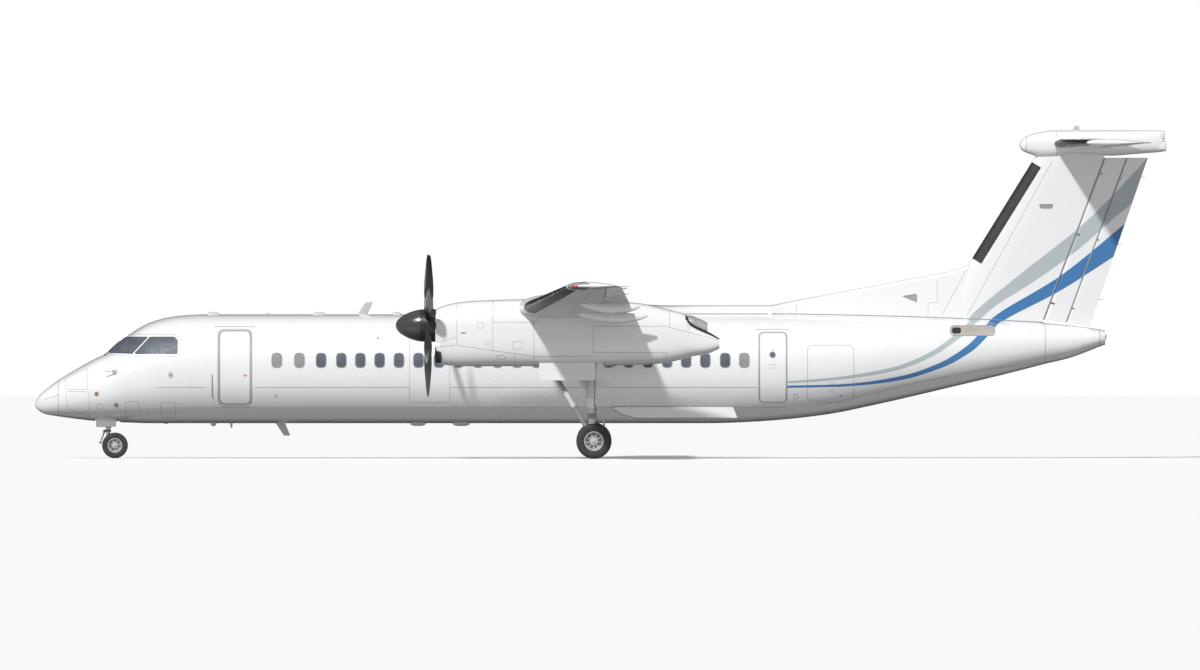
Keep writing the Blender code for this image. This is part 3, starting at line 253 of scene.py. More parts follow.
def curve_through(table):
    """A smooth reading of a table's columns that passes through each row and never overshoots."""
    xs = [row[0] for row in table]
    columns = [[row[i] for row in table] for i in range(1, len(table[0]))]
    slopes = []
    for values in columns:
        steps = [(values[i + 1] - values[i]) / (xs[i + 1] - xs[i]) for i in range(len(xs) - 1)]
        slope = [steps[0]]
        for a, b in zip(steps, steps[1:]):
            slope.append(0.0 if a * b <= 0 else 2 * a * b / (a + b))
        slopes.append(slope + [steps[-1]])

    def read(x):
        x = min(max(x, xs[0]), xs[-1])
        i = min(bisect.bisect_right(xs, x), len(xs) - 1) - 1
        width = xs[i + 1] - xs[i]
        t = (x - xs[i]) / width
        found = []
        for values, slope in zip(columns, slopes):
            found.append(
                values[i] * (1 + 2 * t) * (1 - t) ** 2
                + values[i + 1] * t * t * (3 - 2 * t)
                + slope[i] * width * t * (1 - t) ** 2
                - slope[i + 1] * width * t * t * (1 - t)
            )
        return found

    return read


def evenly(start, end, step):
    """Values from start to end, about one step apart."""
    count = max(1, math.ceil(abs(end - start) / step))
    return [start + (end - start) * i / count for i in range(count + 1)]


def turns(count):
    """The angles of a full turn in equal steps."""
    return [2 * math.pi * i / count for i in range(count)]


def oval(u, v, reach_u, reach_v, count):
    """An ellipse about a point, as pairs."""
    return [(u + reach_u * math.cos(a), v + reach_v * math.sin(a)) for a in turns(count)]


def squared(x, y, z, half, height, power, sides):
    """A ring across X: a circle or ellipse at power 2, squarer above it."""
    ring = []
    for turn in turns(sides):
        s, c = math.sin(turn), math.cos(turn)
        across, up = math.copysign(abs(s) ** (2 / power), s), math.copysign(abs(c) ** (2 / power), c)
        ring.append((x, y + half * across, z + height * up))
    return ring


def add_loft(bm, rings, closed=True, caps=True, index=0):
    """Quads through rings of equally many points, with flat caps."""
    rows = [[bm.verts.new(point) for point in ring] for ring in rings]
    count = len(rows[0])
    for low, high in zip(rows, rows[1:]):
        for i in range(count if closed else count - 1):
            j = (i + 1) % count
            face = bm.faces.new((low[i], low[j], high[j], high[i]))
            face.material_index = index
    if caps and closed:
        for ring in (rows[0][::-1], rows[-1]):
            bm.faces.new(ring).material_index = index
    return rows


def add_turned(bm, profile, centre, axis, steps=48, index=0):
    """A closed profile of (radius, height) turned about a line through the centre, along X, Y or Z."""
    lean = {
        "X": Matrix.Rotation(math.radians(90), 3, "Y"),
        "Y": Matrix.Rotation(math.radians(-90), 3, "X"),
        "Z": Matrix.Identity(3),
    }[axis]
    rings = []
    for angle in turns(steps):
        ring = [
            Vector((max(r, 1e-5) * math.cos(angle), max(r, 1e-5) * math.sin(angle), h))
            for r, h in profile
        ]
        rings.append([lean @ p + Vector(centre) for p in ring])
    rows = [[bm.verts.new(p) for p in ring] for ring in rings]
    count = len(profile)
    for k in range(steps):
        low, high = rows[k], rows[(k + 1) % steps]
        for i in range(count):
            j = (i + 1) % count
            if profile[i][0] < 1e-4 and profile[j][0] < 1e-4:
                continue
            bm.faces.new((low[i], low[j], high[j], high[i])).material_index = index
    bmesh.ops.remove_doubles(bm, verts=[v for row in rows for v in row], dist=3e-5)


def add_tube(bm, points, radius, sides=16, index=0):
    """A round bar along points; radius is one number, or one for each point."""
    points = [Vector(p) for p in points]
    radii = radius if isinstance(radius, (list, tuple)) else [radius] * len(points)
    rings = []
    side = None
    for i, point in enumerate(points):
        along = (points[min(i + 1, len(points) - 1)] - points[max(i - 1, 0)]).normalized()
        if side is None:
            side = along.orthogonal().normalized()
        else:
            side = (side - along * side.dot(along)).normalized()
        other = along.cross(side)
        rings.append(
            [point + (side * math.cos(a) + other * math.sin(a)) * radii[i] for a in turns(sides)]
        )
    return add_loft(bm, rings, index=index)


def add_pin(bm, x, y, z, half, radius, sides):
    """A round pin across, half long to each side of y."""
    add_tube(bm, [(x, y - half, z), (x, y + half, z)], radius, sides)


def add_wick(bm, x, y, z, length, rise):
    """A static wick: a short tapered rod that trails aft."""
    tail = Vector((x, y, z))
    add_tube(bm, [tail, tail + Vector((length, 0, rise))], [0.007, 0.003], 8)


def add_box(bm, low, high, index=0, turn=None):
    """A box between two corners; turn is a matrix about its middle."""
    middle = (Vector(low) + Vector(high)) / 2
    corners = []
    for x in (low[0], high[0]):
        for y in (low[1], high[1]):
            for z in (low[2], high[2]):
                offset = Vector((x, y, z)) - middle
                corners.append(bm.verts.new(middle + (turn @ offset if turn else offset)))
    for face in ((0, 1, 3, 2), (4, 6, 7, 5), (0, 4, 5, 1), (2, 3, 7, 6), (0, 2, 6, 4), (1, 5, 7, 3)):
        bm.faces.new([corners[i] for i in face]).material_index = index


def add_prism(bm, outline, axis, low, high, index=0):
    """A flat outline drawn out along one axis: 2-D points give the other two coordinates in order."""
    keep = [i for i in range(3) if i != axis]
    rings = []
    for level in (low, high):
        ring = []
        for pair in outline:
            point = [0.0, 0.0, 0.0]
            point[keep[0]], point[keep[1]] = pair
            point[axis] = level
            ring.append(point)
        rings.append(ring)
    return add_loft(bm, rings, index=index)


def as_object(name, bm, materials, outward=True):
    """The object made from a mesh under construction."""
    if outward:
        bmesh.ops.recalc_face_normals(bm, faces=bm.faces)
    mesh = bpy.data.meshes.new(name)
    bm.to_mesh(mesh)
    bm.free()
    for mat in materials if isinstance(materials, (list, tuple)) else [materials]:
        mesh.materials.append(mat)
    obj = bpy.data.objects.new(name, mesh)
    scene.collection.objects.link(obj)
    return obj


def piece(name, bm, materials, body, nodes=(), angle=35, bevel=0.0, slot=None, outward=True):
    """Turns a mesh under construction into a finished piece that rides on a body."""
    obj = as_object(name, bm, materials, outward)
    if bevel:
        soft = obj.modifiers.new("Soft edges", "BEVEL")
        soft.width = bevel
        soft.segments = 2
        soft.limit_method = "ANGLE"
        soft.angle_limit = BEVEL_ANGLE
    obj.data.shade_smooth()
    obj.data.set_sharp_from_angle(angle=math.radians(angle))
    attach(obj, body)
    if nodes:
        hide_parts(*nodes)
    return obj


def helper(name, build, mat):
    """A cutter object, made by a function that fills a mesh."""
    bm = bmesh.new()
    build(bm)
    return as_object(name, bm, mat)


def carve(obj, cutters, angle=35):
    """Cuts the helpers out of a piece for good; the cut faces take the helpers' finishes."""
    for cutter in cutters:
        step = obj.modifiers.new("Carve", "BOOLEAN")
        step.operation = "DIFFERENCE"
        step.solver = "EXACT"
        step.material_mode = "TRANSFER"
        step.object = cutter
    bpy.context.view_layer.update()
    graph = bpy.context.evaluated_depsgraph_get()
    made = bpy.data.meshes.new_from_object(obj.evaluated_get(graph))
    old = obj.data
    obj.modifiers.clear()
    obj.data = made
    bpy.data.meshes.remove(old)
    made.name = obj.name
    made.shade_smooth()
    made.set_sharp_from_angle(angle=math.radians(angle))
    for cutter in cutters:
        bpy.data.objects.remove(cutter, do_unlink=True)


def softened(points, radius, steps=5):
    """A closed outline with its corners rounded."""
    done = []
    for i, point in enumerate(points):
        corner = Vector(point)
        before, after = Vector(points[i - 1]), Vector(points[(i + 1) % len(points)])
        r = min(radius, (before - corner).length * 0.49, (after - corner).length * 0.49)
        start = corner + (before - corner).normalized() * r
        end = corner + (after - corner).normalized() * r
        for k in range(steps + 1):
            t = k / steps
            done.append(tuple(start * (1 - t) ** 2 + corner * 2 * t * (1 - t) + end * t * t))
    return done


def box_outline(x0, z0, x1, z1, radius):
    return softened([(x0, z0), (x1, z0), (x1, z1), (x0, z1)], radius)


def resampled(points, step, closed=False):
    """The same line with no stretch longer than a step."""
    done = []
    for a, b in zip(points, points[1:] + points[:1] if closed else points[1:]):
        count = max(1, math.ceil(math.dist(a, b) / step))
        for k in range(count):
            t = k / count
            done.append(tuple(p + (q - p) * t for p, q in zip(a, b)))
    if not closed:
        done.append(tuple(points[-1]))
    return done


def smooth_line(points, steps=8):
    """A curve through points, drawn as a Catmull-Rom spline."""
    done = []
    for i in range(len(points) - 1):
        p0 = Vector(points[max(i - 1, 0)])
        p1, p2 = Vector(points[i]), Vector(points[i + 1])
        p3 = Vector(points[min(i + 2, len(points) - 1)])
        bend = (p2 - p0, 2 * p0 - 5 * p1 + 4 * p2 - p3, 3 * p1 - p0 - 3 * p2 + p3)
        for k in range(steps):
            t = k / steps
            done.append(tuple(0.5 * (2 * p1 + bend[0] * t + bend[1] * t * t + bend[2] * t ** 3)))
    done.append(tuple(points[-1]))
    return done


class Skin:
    """A smooth closed surface through sections across X: rows of x, top z, bottom z and half width."""

    def __init__(self, table, y=0.0, power=2.0):
        self.read = curve_through(table)
        self.y = y
        self.power = power

    def at(self, x, angle, lift=0.0):
        """The point at an angle from the top, positive to starboard."""
        top, bottom, half = self.read(x)
        s, c = math.sin(angle), math.cos(angle)
        across = math.copysign(abs(s) ** (2 / self.power), s)
        up = math.copysign(abs(c) ** (2 / self.power), c)
        point = Vector((x, self.y + half * across, (top + bottom) / 2 + (top - bottom) / 2 * up))
        if lift:
            point += self.normal(x, angle) * lift
        return point

    def normal(self, x, angle):
        near = 0.004
        along = self.at(x + near, angle) - self.at(x - near, angle)
        around = self.at(x, angle + near) - self.at(x, angle - near)
        out = along.cross(around).normalized()
        top, bottom, _ = self.read(x)
        middle = Vector((x, self.y, (top + bottom) / 2))
        return out if out.dot(self.at(x, angle) - middle) > 0 else -out

    def angle(self, x, z, side):
        """The angle at a height, on the port side for -1 or the starboard side for 1."""
        top, bottom, _ = self.read(x)
        share = (z - (top + bottom) / 2) / ((top - bottom) / 2)
        share = min(max(share, -1.0), 1.0)
        return side * math.acos(math.copysign(abs(share) ** (self.power / 2), share))

    def ring(self, x, sides, grow=0.0):
        return [self.at(x, angle, grow) for angle in turns(sides)]

    def path(self, points, side, closed=False, step=0.10):
        """(point, normal) pairs under a line of the side view."""
        found = []
        for x, z in resampled(points, step, closed):
            angle = self.angle(x, z, side)
            found.append((self.at(x, angle), self.normal(x, angle)))
        return found

    def hoop(self, x, start, end, step=0.08):
        """(point, normal) pairs around the skin at one x, between two angles."""
        return [(self.at(x, a), self.normal(x, a)) for a in evenly(start, end, step)]

    def outline(self, points, side, step=0.06):
        """A closed line of the side view as (x, angle) pairs."""
        return [(x, self.angle(x, z, side)) for x, z in resampled(points, step, closed=True)]


def add_bead(bm, path, width=0.014, height=0.003, closed=False, index=0):
    """A thin raised line along (point, normal) pairs."""
    rows = []
    count = len(path)
    for i, (point, normal) in enumerate(path):
        before = path[i - 1][0] if i or closed else point
        after = path[(i + 1) % count][0] if i < count - 1 or closed else point
        side = normal.cross((after - before).normalized()).normalized() * width / 2
        foot, crown = normal * BEAD_FOOT, normal * height
        rows.append(
            [
                bm.verts.new(point - side - foot),
                bm.verts.new(point - side * BEAD_CROWN + crown),
                bm.verts.new(point + side * BEAD_CROWN + crown),
                bm.verts.new(point + side - foot),
            ]
        )
    ends = list(zip(rows, rows[1:] + rows[:1])) if closed else list(zip(rows, rows[1:]))
    for low, high in ends:
        for k in range(4):
            j = (k + 1) % 4
            bm.faces.new((low[k], low[j], high[j], high[k])).material_index = index
    if not closed:
        for row in (rows[0][::-1], rows[-1]):
            bm.faces.new(row).material_index = index


def add_patch(bm, outlines, place, lift=0.004, cells=(0.07, 0.05), depth=0.010, index=0, clips=()):
    """Fills outlines of any two coordinates and bends them onto a surface.

    place(u, v) gives the point and the normal there; clips are (point, normal) lines that cut the outlines.
    """
    flat = bmesh.new()
    for outline in outlines:
        flat.faces.new([flat.verts.new((u, v, 0)) for u, v in outline])
    bmesh.ops.remove_doubles(flat, verts=flat.verts, dist=1e-5)
    for point, normal in clips:
        geom = flat.verts[:] + flat.edges[:] + flat.faces[:]
        bmesh.ops.bisect_plane(flat, geom=geom, plane_co=(*point, 0), plane_no=(*normal, 0), clear_outer=True)
    for axis, size in enumerate(cells):
        if not flat.verts:
            flat.free()
            return
        low = min(v.co[axis] for v in flat.verts)
        high = max(v.co[axis] for v in flat.verts)
        normal = (1, 0, 0) if axis == 0 else (0, 1, 0)
        for k in range(math.floor(low / size) + 1, math.ceil(high / size)):
            geom = flat.verts[:] + flat.edges[:] + flat.faces[:]
            co = tuple(k * size * n for n in normal)
            bmesh.ops.bisect_plane(flat, geom=geom, plane_co=co, plane_no=normal, dist=1e-5)
    bmesh.ops.remove_doubles(flat, verts=flat.verts, dist=1e-5)
    bmesh.ops.triangulate(flat, faces=[f for f in flat.faces if len(f.verts) > 4])
    flat.verts.index_update()
    tops, lows = [], []
    for v in flat.verts:
        point, normal = place(v.co.x, v.co.y)
        tops.append(bm.verts.new(point + normal * lift))
        lows.append(bm.verts.new(point - normal * (depth - lift)))
    flip = None
    for face in flat.faces:
        order = [v.index for v in face.verts]
        if flip is None:
            points = [tops[i].co for i in order[:3]]
            made = (points[1] - points[0]).cross(points[2] - points[0])
            middle = sum((v.co.xy for v in face.verts), Vector((0, 0))) / len(order)
            flip = made.dot(place(*middle)[1]) < 0
        if flip:
            order.reverse()
        for row, ids in ((tops, order), (lows, order[::-1])):
            bm.faces.new([row[i] for i in ids]).material_index = index
    for edge in flat.edges:
        if len(edge.link_faces) == 1:
            a, b = (v.index for v in edge.verts)
            loop = edge.link_loops[0]
            if loop.vert.index != a:
                a, b = b, a
            if flip:
                a, b = b, a
            bm.faces.new((tops[b], tops[a], lows[a], lows[b])).material_index = index
    flat.free()


def on_skin(skin):
    return lambda x, angle: (skin.at(x, angle), skin.normal(x, angle))


def add_seam(bm, skin, points, side, step, width=0.014, height=0.003):
    """A raised line on one side of a skin, along a line of the side view."""
    add_bead(bm, skin.path(points, side, False, step), width, height)


def add_rim(bm, skin, points, side, step, width, height=0.003):
    """The same round a closed line."""
    add_bead(bm, skin.path(points, side, True, step), width, height, closed=True)


def add_hoop(bm, skin, x, width, height=0.003, step=0.08):
    """A raised line all round a skin at one x."""
    add_bead(bm, skin.hoop(x, -math.pi, math.pi, step)[:-1], width, height, closed=True)


def add_panel(bm, skin, points, side, step, cells, lift, depth):
    """A patch on one side of a skin, inside a closed line of the side view."""
    add_patch(bm, [skin.outline(points, side, step)], on_skin(skin), lift, cells, depth)


# Fuselage
# x, top z, bottom z, half width
HULL = (
    (-16.405, 1.579, 1.571, 0.004),
    (-16.394, 1.640, 1.510, 0.065),
    (-16.350, 1.710, 1.435, 0.140),
    (-16.240, 1.863, 1.341, 0.270),
    (-16.066, 2.008, 1.269, 0.400),
    (-15.719, 2.268, 1.211, 0.600),
    (-15.197, 2.587, 1.139, 0.850),
    (-14.676, 2.877, 1.081, 1.050),
    (-14.328, 3.046, 1.060, 1.160),
    (-13.980, 3.355, 1.043, 1.260),
    (-13.633, 3.616, 1.031, 1.345),
    (-13.053, 3.939, 1.014, 1.455),
    (-12.474, 4.094, 1.014, 1.525),
    (-11.894, 4.156, 1.014, 1.560),
    (-11.460, 4.172, 1.014, 1.571),
    (3.171, 4.172, 1.014, 1.571),
    (4.330, 4.172, 1.052, 1.565),
    (5.489, 4.172, 1.139, 1.540),
    (6.648, 4.152, 1.283, 1.480),
    (7.807, 4.129, 1.515, 1.380),
    (8.966, 4.094, 1.776, 1.250),
    (10.125, 4.051, 2.051, 1.100),
    (11.283, 4.007, 2.326, 0.930),
    (12.442, 3.945, 2.616, 0.750),
    (12.891, 3.915, 2.734, 0.680),
    (13.601, 3.845, 2.906, 0.560),
    (14.181, 3.775, 3.118, 0.450),
    (14.456, 3.737, 3.230, 0.390),
    (14.636, 3.700, 3.290, 0.300),
)
HULL_SIDES = 96
DOOR_X = (-11.082, -10.094)
DOOR_Z = (1.538, 3.738)
DOOR_MIDDLE_X = -10.6
DOOR_CORNER = 0.19
DOOR_GAP = 0.008
VESTIBULE_X = (-11.20, -9.94)
VESTIBULE_Z = (1.60, 3.74)
VESTIBULE_FAR_Y = 0.60
VESTIBULE_WALL = 0.07
NOSE_BAY = ((-14.66, -0.26, 0.8), (-13.93, 0.26, 1.50))

hull = Skin(HULL)
on_hull = on_skin(hull)


def hull_point(px, py, side, lift=0.0):
    """The point of the hull under a pixel of the side view."""
    x, z = spot(px, py)
    return hull.at(x, hull.angle(x, z, side), lift)


# Piece, CAD node, forward end, aft end, ring spacing, finish, slot
SECTIONS = (
    ("radome_skin", "radome", -16.405, -15.719, 0.03, RADOME, "radome_paint"),
    ("nose_skin", "nose_section", -15.719, -11.270, 0.05, WHITE, "white_paint"),
    ("entry_skin", "entry_section", -11.270, -9.860, 0.10, WHITE, "white_paint"),
    ("cabin_skin", "cabin_section", -9.860, 4.530, 0.40, WHITE, "white_paint"),
    ("rear_skin", "rear_section", 4.530, 12.891, 0.12, WHITE, "white_paint"),
    ("tail_cone_skin", "tail_cone", 12.891, 14.636, 0.08, WHITE, "white_paint"),
)
shells = {}
for name, node, start, end, spacing, mat, slot in SECTIONS:
    stops = evenly(start, end, spacing)
    if node == "radome":
        stops = [start + (end - start) * (i / 32) ** 2 for i in range(33)]
    bm = bmesh.new()
    add_loft(bm, [hull.ring(x, HULL_SIDES) for x in stops])
    shells[node] = piece(name, bm, mat, "airframe", [node], slot=slot)


def door_outline(ends, sill, head, radius):
    """The boarding door's outline, drawn in at its two ends, its sill and its head."""
    return box_outline(DOOR_X[0] + ends, DOOR_Z[0] + sill, DOOR_X[1] - ends, DOOR_Z[1] - head, radius)


def door_skin_y(z):
    """The y of the hull's port skin at the door."""
    return hull.at(DOOR_MIDDLE_X, hull.angle(DOOR_MIDDLE_X, z, -1)).y


def doorway(bm):
    add_prism(bm, door_outline(-DOOR_GAP, -DOOR_GAP, -DOOR_GAP, DOOR_CORNER), 1, -1.75, -1.0)


def vestibule(bm):
    """The room behind the door: its outer side follows the skin, a wall's thickness inside it."""
    outline = [(door_skin_y(z) + VESTIBULE_WALL, z) for z in evenly(*VESTIBULE_Z, 0.12)]
    outline += [(VESTIBULE_FAR_Y, VESTIBULE_Z[1]), (VESTIBULE_FAR_Y, VESTIBULE_Z[0])]
    add_prism(bm, outline, 0, *VESTIBULE_X)


carve(
    shells["entry_section"], [helper("doorway", doorway, FRAME_GREY), helper("vestibule", vestibule, LINING)]
)
carve(shells["nose_section"], [helper("nose_bay", lambda bm: add_box(bm, *NOSE_BAY), BAY_PAINT)])

# Entry mat and threshold plate: name, low corner, high corner, finish, bevel
for name, low, high, mat, bevel in (
    ("vestibule_mat", (-11.18, -0.88, 1.601), (-9.96, 0.58, 1.612), TREAD, 0.003),
    (
        "threshold_plate", (DOOR_X[0] + 0.06, -0.998, 1.601), (DOOR_X[1] - 0.06, -0.89, 1.607), BARE_METAL,
        0.002
    ),
):
    bm = bmesh.new()
    add_box(bm, low, high)
    piece(name, bm, mat, "airframe", bevel=bevel)

# Boarding door: a curved panel with its seal band, liner, steps and hinge barrels
DOOR_OPEN = math.radians(125)
DOOR_MIDDLE_Z = 2.593
DOOR_SHELL, DOOR_DEPTH, LINER_SINK = 0.055, 0.086, 0.050
SEAL_INSET, SEAL_WIDTH = 0.038, 0.072
HINGE_Y, HINGE_Z = -1.1728737, 1.536
DOOR_CELLS = (0.25, 0.06)
bm = bmesh.new()
add_panel(bm, hull, door_outline(0, 0.001, 0, DOOR_CORNER), -1, 0.05, DOOR_CELLS, 0.0, DOOR_SHELL)
piece(
    "boarding_door_panel", bm, WHITE, "boarding_door", ["airstair_door"],
    angle=30, slot="white_paint", outward=False,
)
bm = bmesh.new()
liner = door_outline(0.05, 0.06, 0.05, 0.15)
add_panel(bm, hull, liner, -1, 0.05, DOOR_CELLS, -LINER_SINK, DOOR_DEPTH - LINER_SINK)
piece("boarding_door_liner", bm, LINING, "boarding_door", angle=30, outward=False)
bm = bmesh.new()
band = door_outline(SEAL_INSET, SEAL_INSET, SEAL_INSET, DOOR_CORNER - SEAL_INSET / 2)
add_rim(bm, hull, band, -1, 0.06, SEAL_WIDTH, 0.004)
piece("boarding_door_seal", bm, SEAL, "boarding_door", slot="dark_paint")

# Steps: count, lowest z, rise, tread depth, board thickness; they hang on gussets inside the door's ends
STEPS, STEP_LOW, STEP_RISE, STEP_DEPTH, STEP_BOARD = 5, 1.86, 0.33, 0.240, 0.030
steps_bm, treads_bm = bmesh.new(), bmesh.new()
turn = Matrix.Rotation(-DOOR_OPEN, 3, "X")
tread, fall = turn @ Vector((0, -1, 0)), turn @ Vector((0, 0, -1))
for i in range(STEPS):
    z = STEP_LOW + STEP_RISE * i
    y = door_skin_y(z)
    out = Vector((0, y, z - DOOR_MIDDLE_Z)).normalized()
    root = Vector((0, y, z)) - out * 0.07
    for bm, low, high, ends in (
        (steps_bm, 0.0, STEP_BOARD, (0.0, STEP_DEPTH)),
        (treads_bm, -0.002, 0.004, (0.020, 0.234)),
    ):
        sides = ((ends[0], low), (ends[1], low), (ends[1], high), (ends[0], high))
        corners = [root + tread * a + fall * b for a, b in sides]
        add_prism(bm, [(p.y, p.z) for p in corners], 0, DOOR_X[0] + 0.13, DOOR_X[1] - 0.13)
    nose = root + tread * STEP_DEPTH
    gusset = [root, nose, nose + fall * STEP_BOARD, root + Vector((0, out.z, -out.y)) * 0.27]
    for x in (DOOR_X[0] + 0.12, DOOR_X[1] - 0.135):
        add_prism(steps_bm, [(p.y, p.z) for p in gusset], 0, x, x + 0.015)
piece("boarding_steps", steps_bm, GEAR_WHITE, "boarding_door", bevel=0.003)
piece("boarding_step_treads", treads_bm, TREAD, "boarding_door", bevel=0.002)
for name, body, spans in (
    ("door_hinge_barrel", "boarding_door", ((-10.88, -10.30),)),
    ("sill_hinge_barrels", "airframe", ((-11.00, -10.8803), (-10.2997, -10.18))),
):
    bm = bmesh.new()
    for start, end in spans:
        add_tube(bm, [(start, HINGE_Y, HINGE_Z), (end, HINGE_Y, HINGE_Z)], 0.018, 24)
    piece(name, bm, STEEL, body, bevel=0.002)

# Panel lines of the fuselage on both sides, broken on the port side by the boarding door
bm = bmesh.new()
for x in (-15.719, spot(1045.5, 0)[0]):
    add_hoop(bm, hull, x, 0.016)
for side in (-1, 1):
    lines = [
        ((37.0, 401.5), (59.5, 395.0)),
        ((812.7, 406.5), (852.7, 398.3), (909.7, 384.2), (982.0, 369.7), (1040.5, 362.4)),
        ((60.0, 412.8), (84.0, 414.2), (88.4, 414.9), (89.6, 417.6)),
    ]
    belt = ((156.0, 206.0), (255.0, 410.0), (450.0, 757.0)) if side < 0 else ((156.0, 410.0), (450.0, 757.0))
    lines += [((start, 387.4), (end, 387.4)) for start, end in belt]
    lines.append(((212.0, 407.3), (786.0, 407.3)))
    for line in lines:
        add_seam(bm, hull, spots(*line), side, 0.25)
    for corners, radius in (
        (((64.0, 379.5), (67.0, 389.6), (87.7, 389.2), (86.5, 367.8)), 0.06),
        (((65.3, 391.7), (89.0, 391.7), (89.0, 410.2), (84.5, 411.6), (68.0, 409.6)), 0.06),
        (((125.2, 401.2), (138.8, 401.2), (138.8, 416.3), (125.2, 416.3)), 0.07),
        (((160.9, 402.2), (175.4, 402.2), (175.4, 417.5), (160.9, 417.5)), 0.07),
        (((96.9, 403.9), (102.9, 403.9), (102.9, 408.9), (96.9, 408.9)), 0.05),
    ):
        add_rim(bm, hull, softened(spots(*corners), radius), side, 0.10, 0.011, 0.0025)
    # Exit panel: down one side, across and up the other
    exit_line = (
        (409.6, 317.5), (409.6, 400.6), (411.4, 402.1), (448.0, 402.1), (449.8, 400.6), (449.8, 317.5)
    )
    add_seam(bm, hull, spots(*exit_line), side, 0.10, 0.012)
piece("fuselage_panel_lines", bm, LINE, "airframe")

# Passenger doors, baggage door and gutters
bm = bmesh.new()
for side in (-1, 1):
    add_rim(bm, hull, box_outline(*spot(759.2, 402.1), *spot(786.5, 332.4), 0.14), side, 0.07, 0.056, 0.005)
    add_seam(bm, hull, spots((756, 329.4), (789, 329.4)), side, 0.15, 0.022, 0.006)
    if side < 0:
        add_seam(bm, hull, spots((214, 326.7), (255, 326.7)), side, 0.15, 0.022, 0.006)
piece("door_seals", bm, SEAL, "airframe", slot="dark_paint")
bm = bmesh.new()
add_rim(bm, hull, box_outline(*spot(807.4, 402.0), *spot(853.7, 345.2), 0.17), -1, 0.08, 0.015)
for left, top, right, low in ((829.3, 382.6, 833.7, 384.4), (828.3, 389.5, 833.7, 391.7)):
    corners = ((left, top), (right, top), (right, low), (left, low))
    add_rim(bm, hull, softened(spots(*corners), 0.025), -1, 0.05, 0.009)
piece("baggage_door_outline", bm, FRAME_GREY, "airframe")

# Cabin windows: panes with raised rims, by the pixel of their middle
WINDOW_PITCH = 19.5
DARK_WINDOWS = [321.3, 341.5, 360.5, 379.8, 399.1, 418.6, 439.1]
DARK_WINDOWS += [458.6 + WINDOW_PITCH * i for i in range(7)]
DARK_WINDOWS += [608.6, 628.7, 647.9, 667.1, 686.1, 705.2, 725.1]
LIGHT_WINDOWS = [277.0, 299.6, 744.2]
WINDOW_Y = 360.3
WINDOW_HALF = (5.0, 7.2)
WINDOW_CORNER = 0.125
panes, blinds, rims = bmesh.new(), bmesh.new(), bmesh.new()
for side in (-1, 1):
    for centre, bm in [(x, panes) for x in DARK_WINDOWS] + [(x, blinds) for x in LIGHT_WINDOWS]:
        x0, z0 = spot(centre - WINDOW_HALF[0], WINDOW_Y + WINDOW_HALF[1])
        x1, z1 = spot(centre + WINDOW_HALF[0], WINDOW_Y - WINDOW_HALF[1])
        shape = box_outline(x0, z0, x1, z1, WINDOW_CORNER)
        add_panel(bm, hull, shape, side, 0.08, (0.4, 0.09), 0.003, 0.012)
        add_rim(rims, hull, shape, side, 0.06, 0.026, 0.009)
piece("cabin_window_panes", panes, GLASS, "airframe", outward=False)
piece("shaded_window_panes", blinds, BLIND, "airframe", outward=False)
piece("cabin_window_rims", rims, FRAME_GREY, "airframe")

# Cockpit glazing: front panes that meet at a centre post, side panes, and the frame round them
POST_HALF = 0.055
panes, frames, lines = bmesh.new(), bmesh.new(), bmesh.new()
for side in (-1, 1):
    edge = [(x, side * math.asin(POST_HALF / hull.read(x)[2])) for x in evenly(-14.300, -13.790, 0.04)]
    rest = resampled(spots((128.9, 337.1), (147.6, 337.1), (132.2, 353.6), (109.8, 352.7)), 0.05)
    front = edge + [(x, hull.angle(x, z, side)) for x, z in rest]
    add_patch(panes, [front], on_hull, lift=0.004, depth=0.014, cells=(0.06, 0.06))
    add_bead(frames, [on_hull(x, a) for x, a in front], 0.020, 0.008, closed=True)
    shape = softened(
        spots((134.6, 353.7), (150.1, 337.1), (174.4, 337.1), (177.6, 340.4), (177.6, 353.7)), 0.05
    )
    add_panel(panes, hull, shape, side, 0.05, (0.08, 0.05), 0.004, 0.014)
    add_rim(frames, hull, shape, side, 0.05, 0.020, 0.008)
    outer = (
        (131, 334.5), (174.3, 334.5), (180, 339.7), (180, 353.6), (176.5, 356.5), (134, 356.2), (107.5, 354.4)
    )
    add_seam(lines, hull, spots(*outer), side, 0.08, 0.012)
piece("cockpit_panes", panes, GLASS, "airframe", outward=False)
piece("cockpit_pane_rims", frames, RUBBER_BOOT, "airframe")
piece("cockpit_frame_line", lines, LINE, "airframe")
bm = bmesh.new()
add_bead(bm, [on_hull(x, 0) for x in evenly(-14.36, -13.70, 0.05)], 0.10, 0.030)
piece("windscreen_post", bm, WHITE, "airframe", bevel=0.01, slot="white_paint")
bm = bmesh.new()
for side in (-1, 1):
    # Wipers: an arm from the cowl below each front pane, and its blade
    foot = hull.at(-14.36, side * 0.30, 0.012)
    elbow = hull.at(-14.12, side * 0.24, 0.035)
    add_tube(bm, [foot, elbow], [0.013, 0.009], 10)
    low, high = hull.at(-14.20, side * 0.14, 0.022), hull.at(-13.94, side * 0.16, 0.022)
    add_tube(bm, [low, elbow, high], 0.009, 8)
    add_tube(bm, [foot - Vector((0, 0, 0.02)), foot + Vector((0, 0, 0.018))], 0.024, 14)
piece("windscreen_wipers", bm, RUBBER_BOOT, "airframe")

# Wings

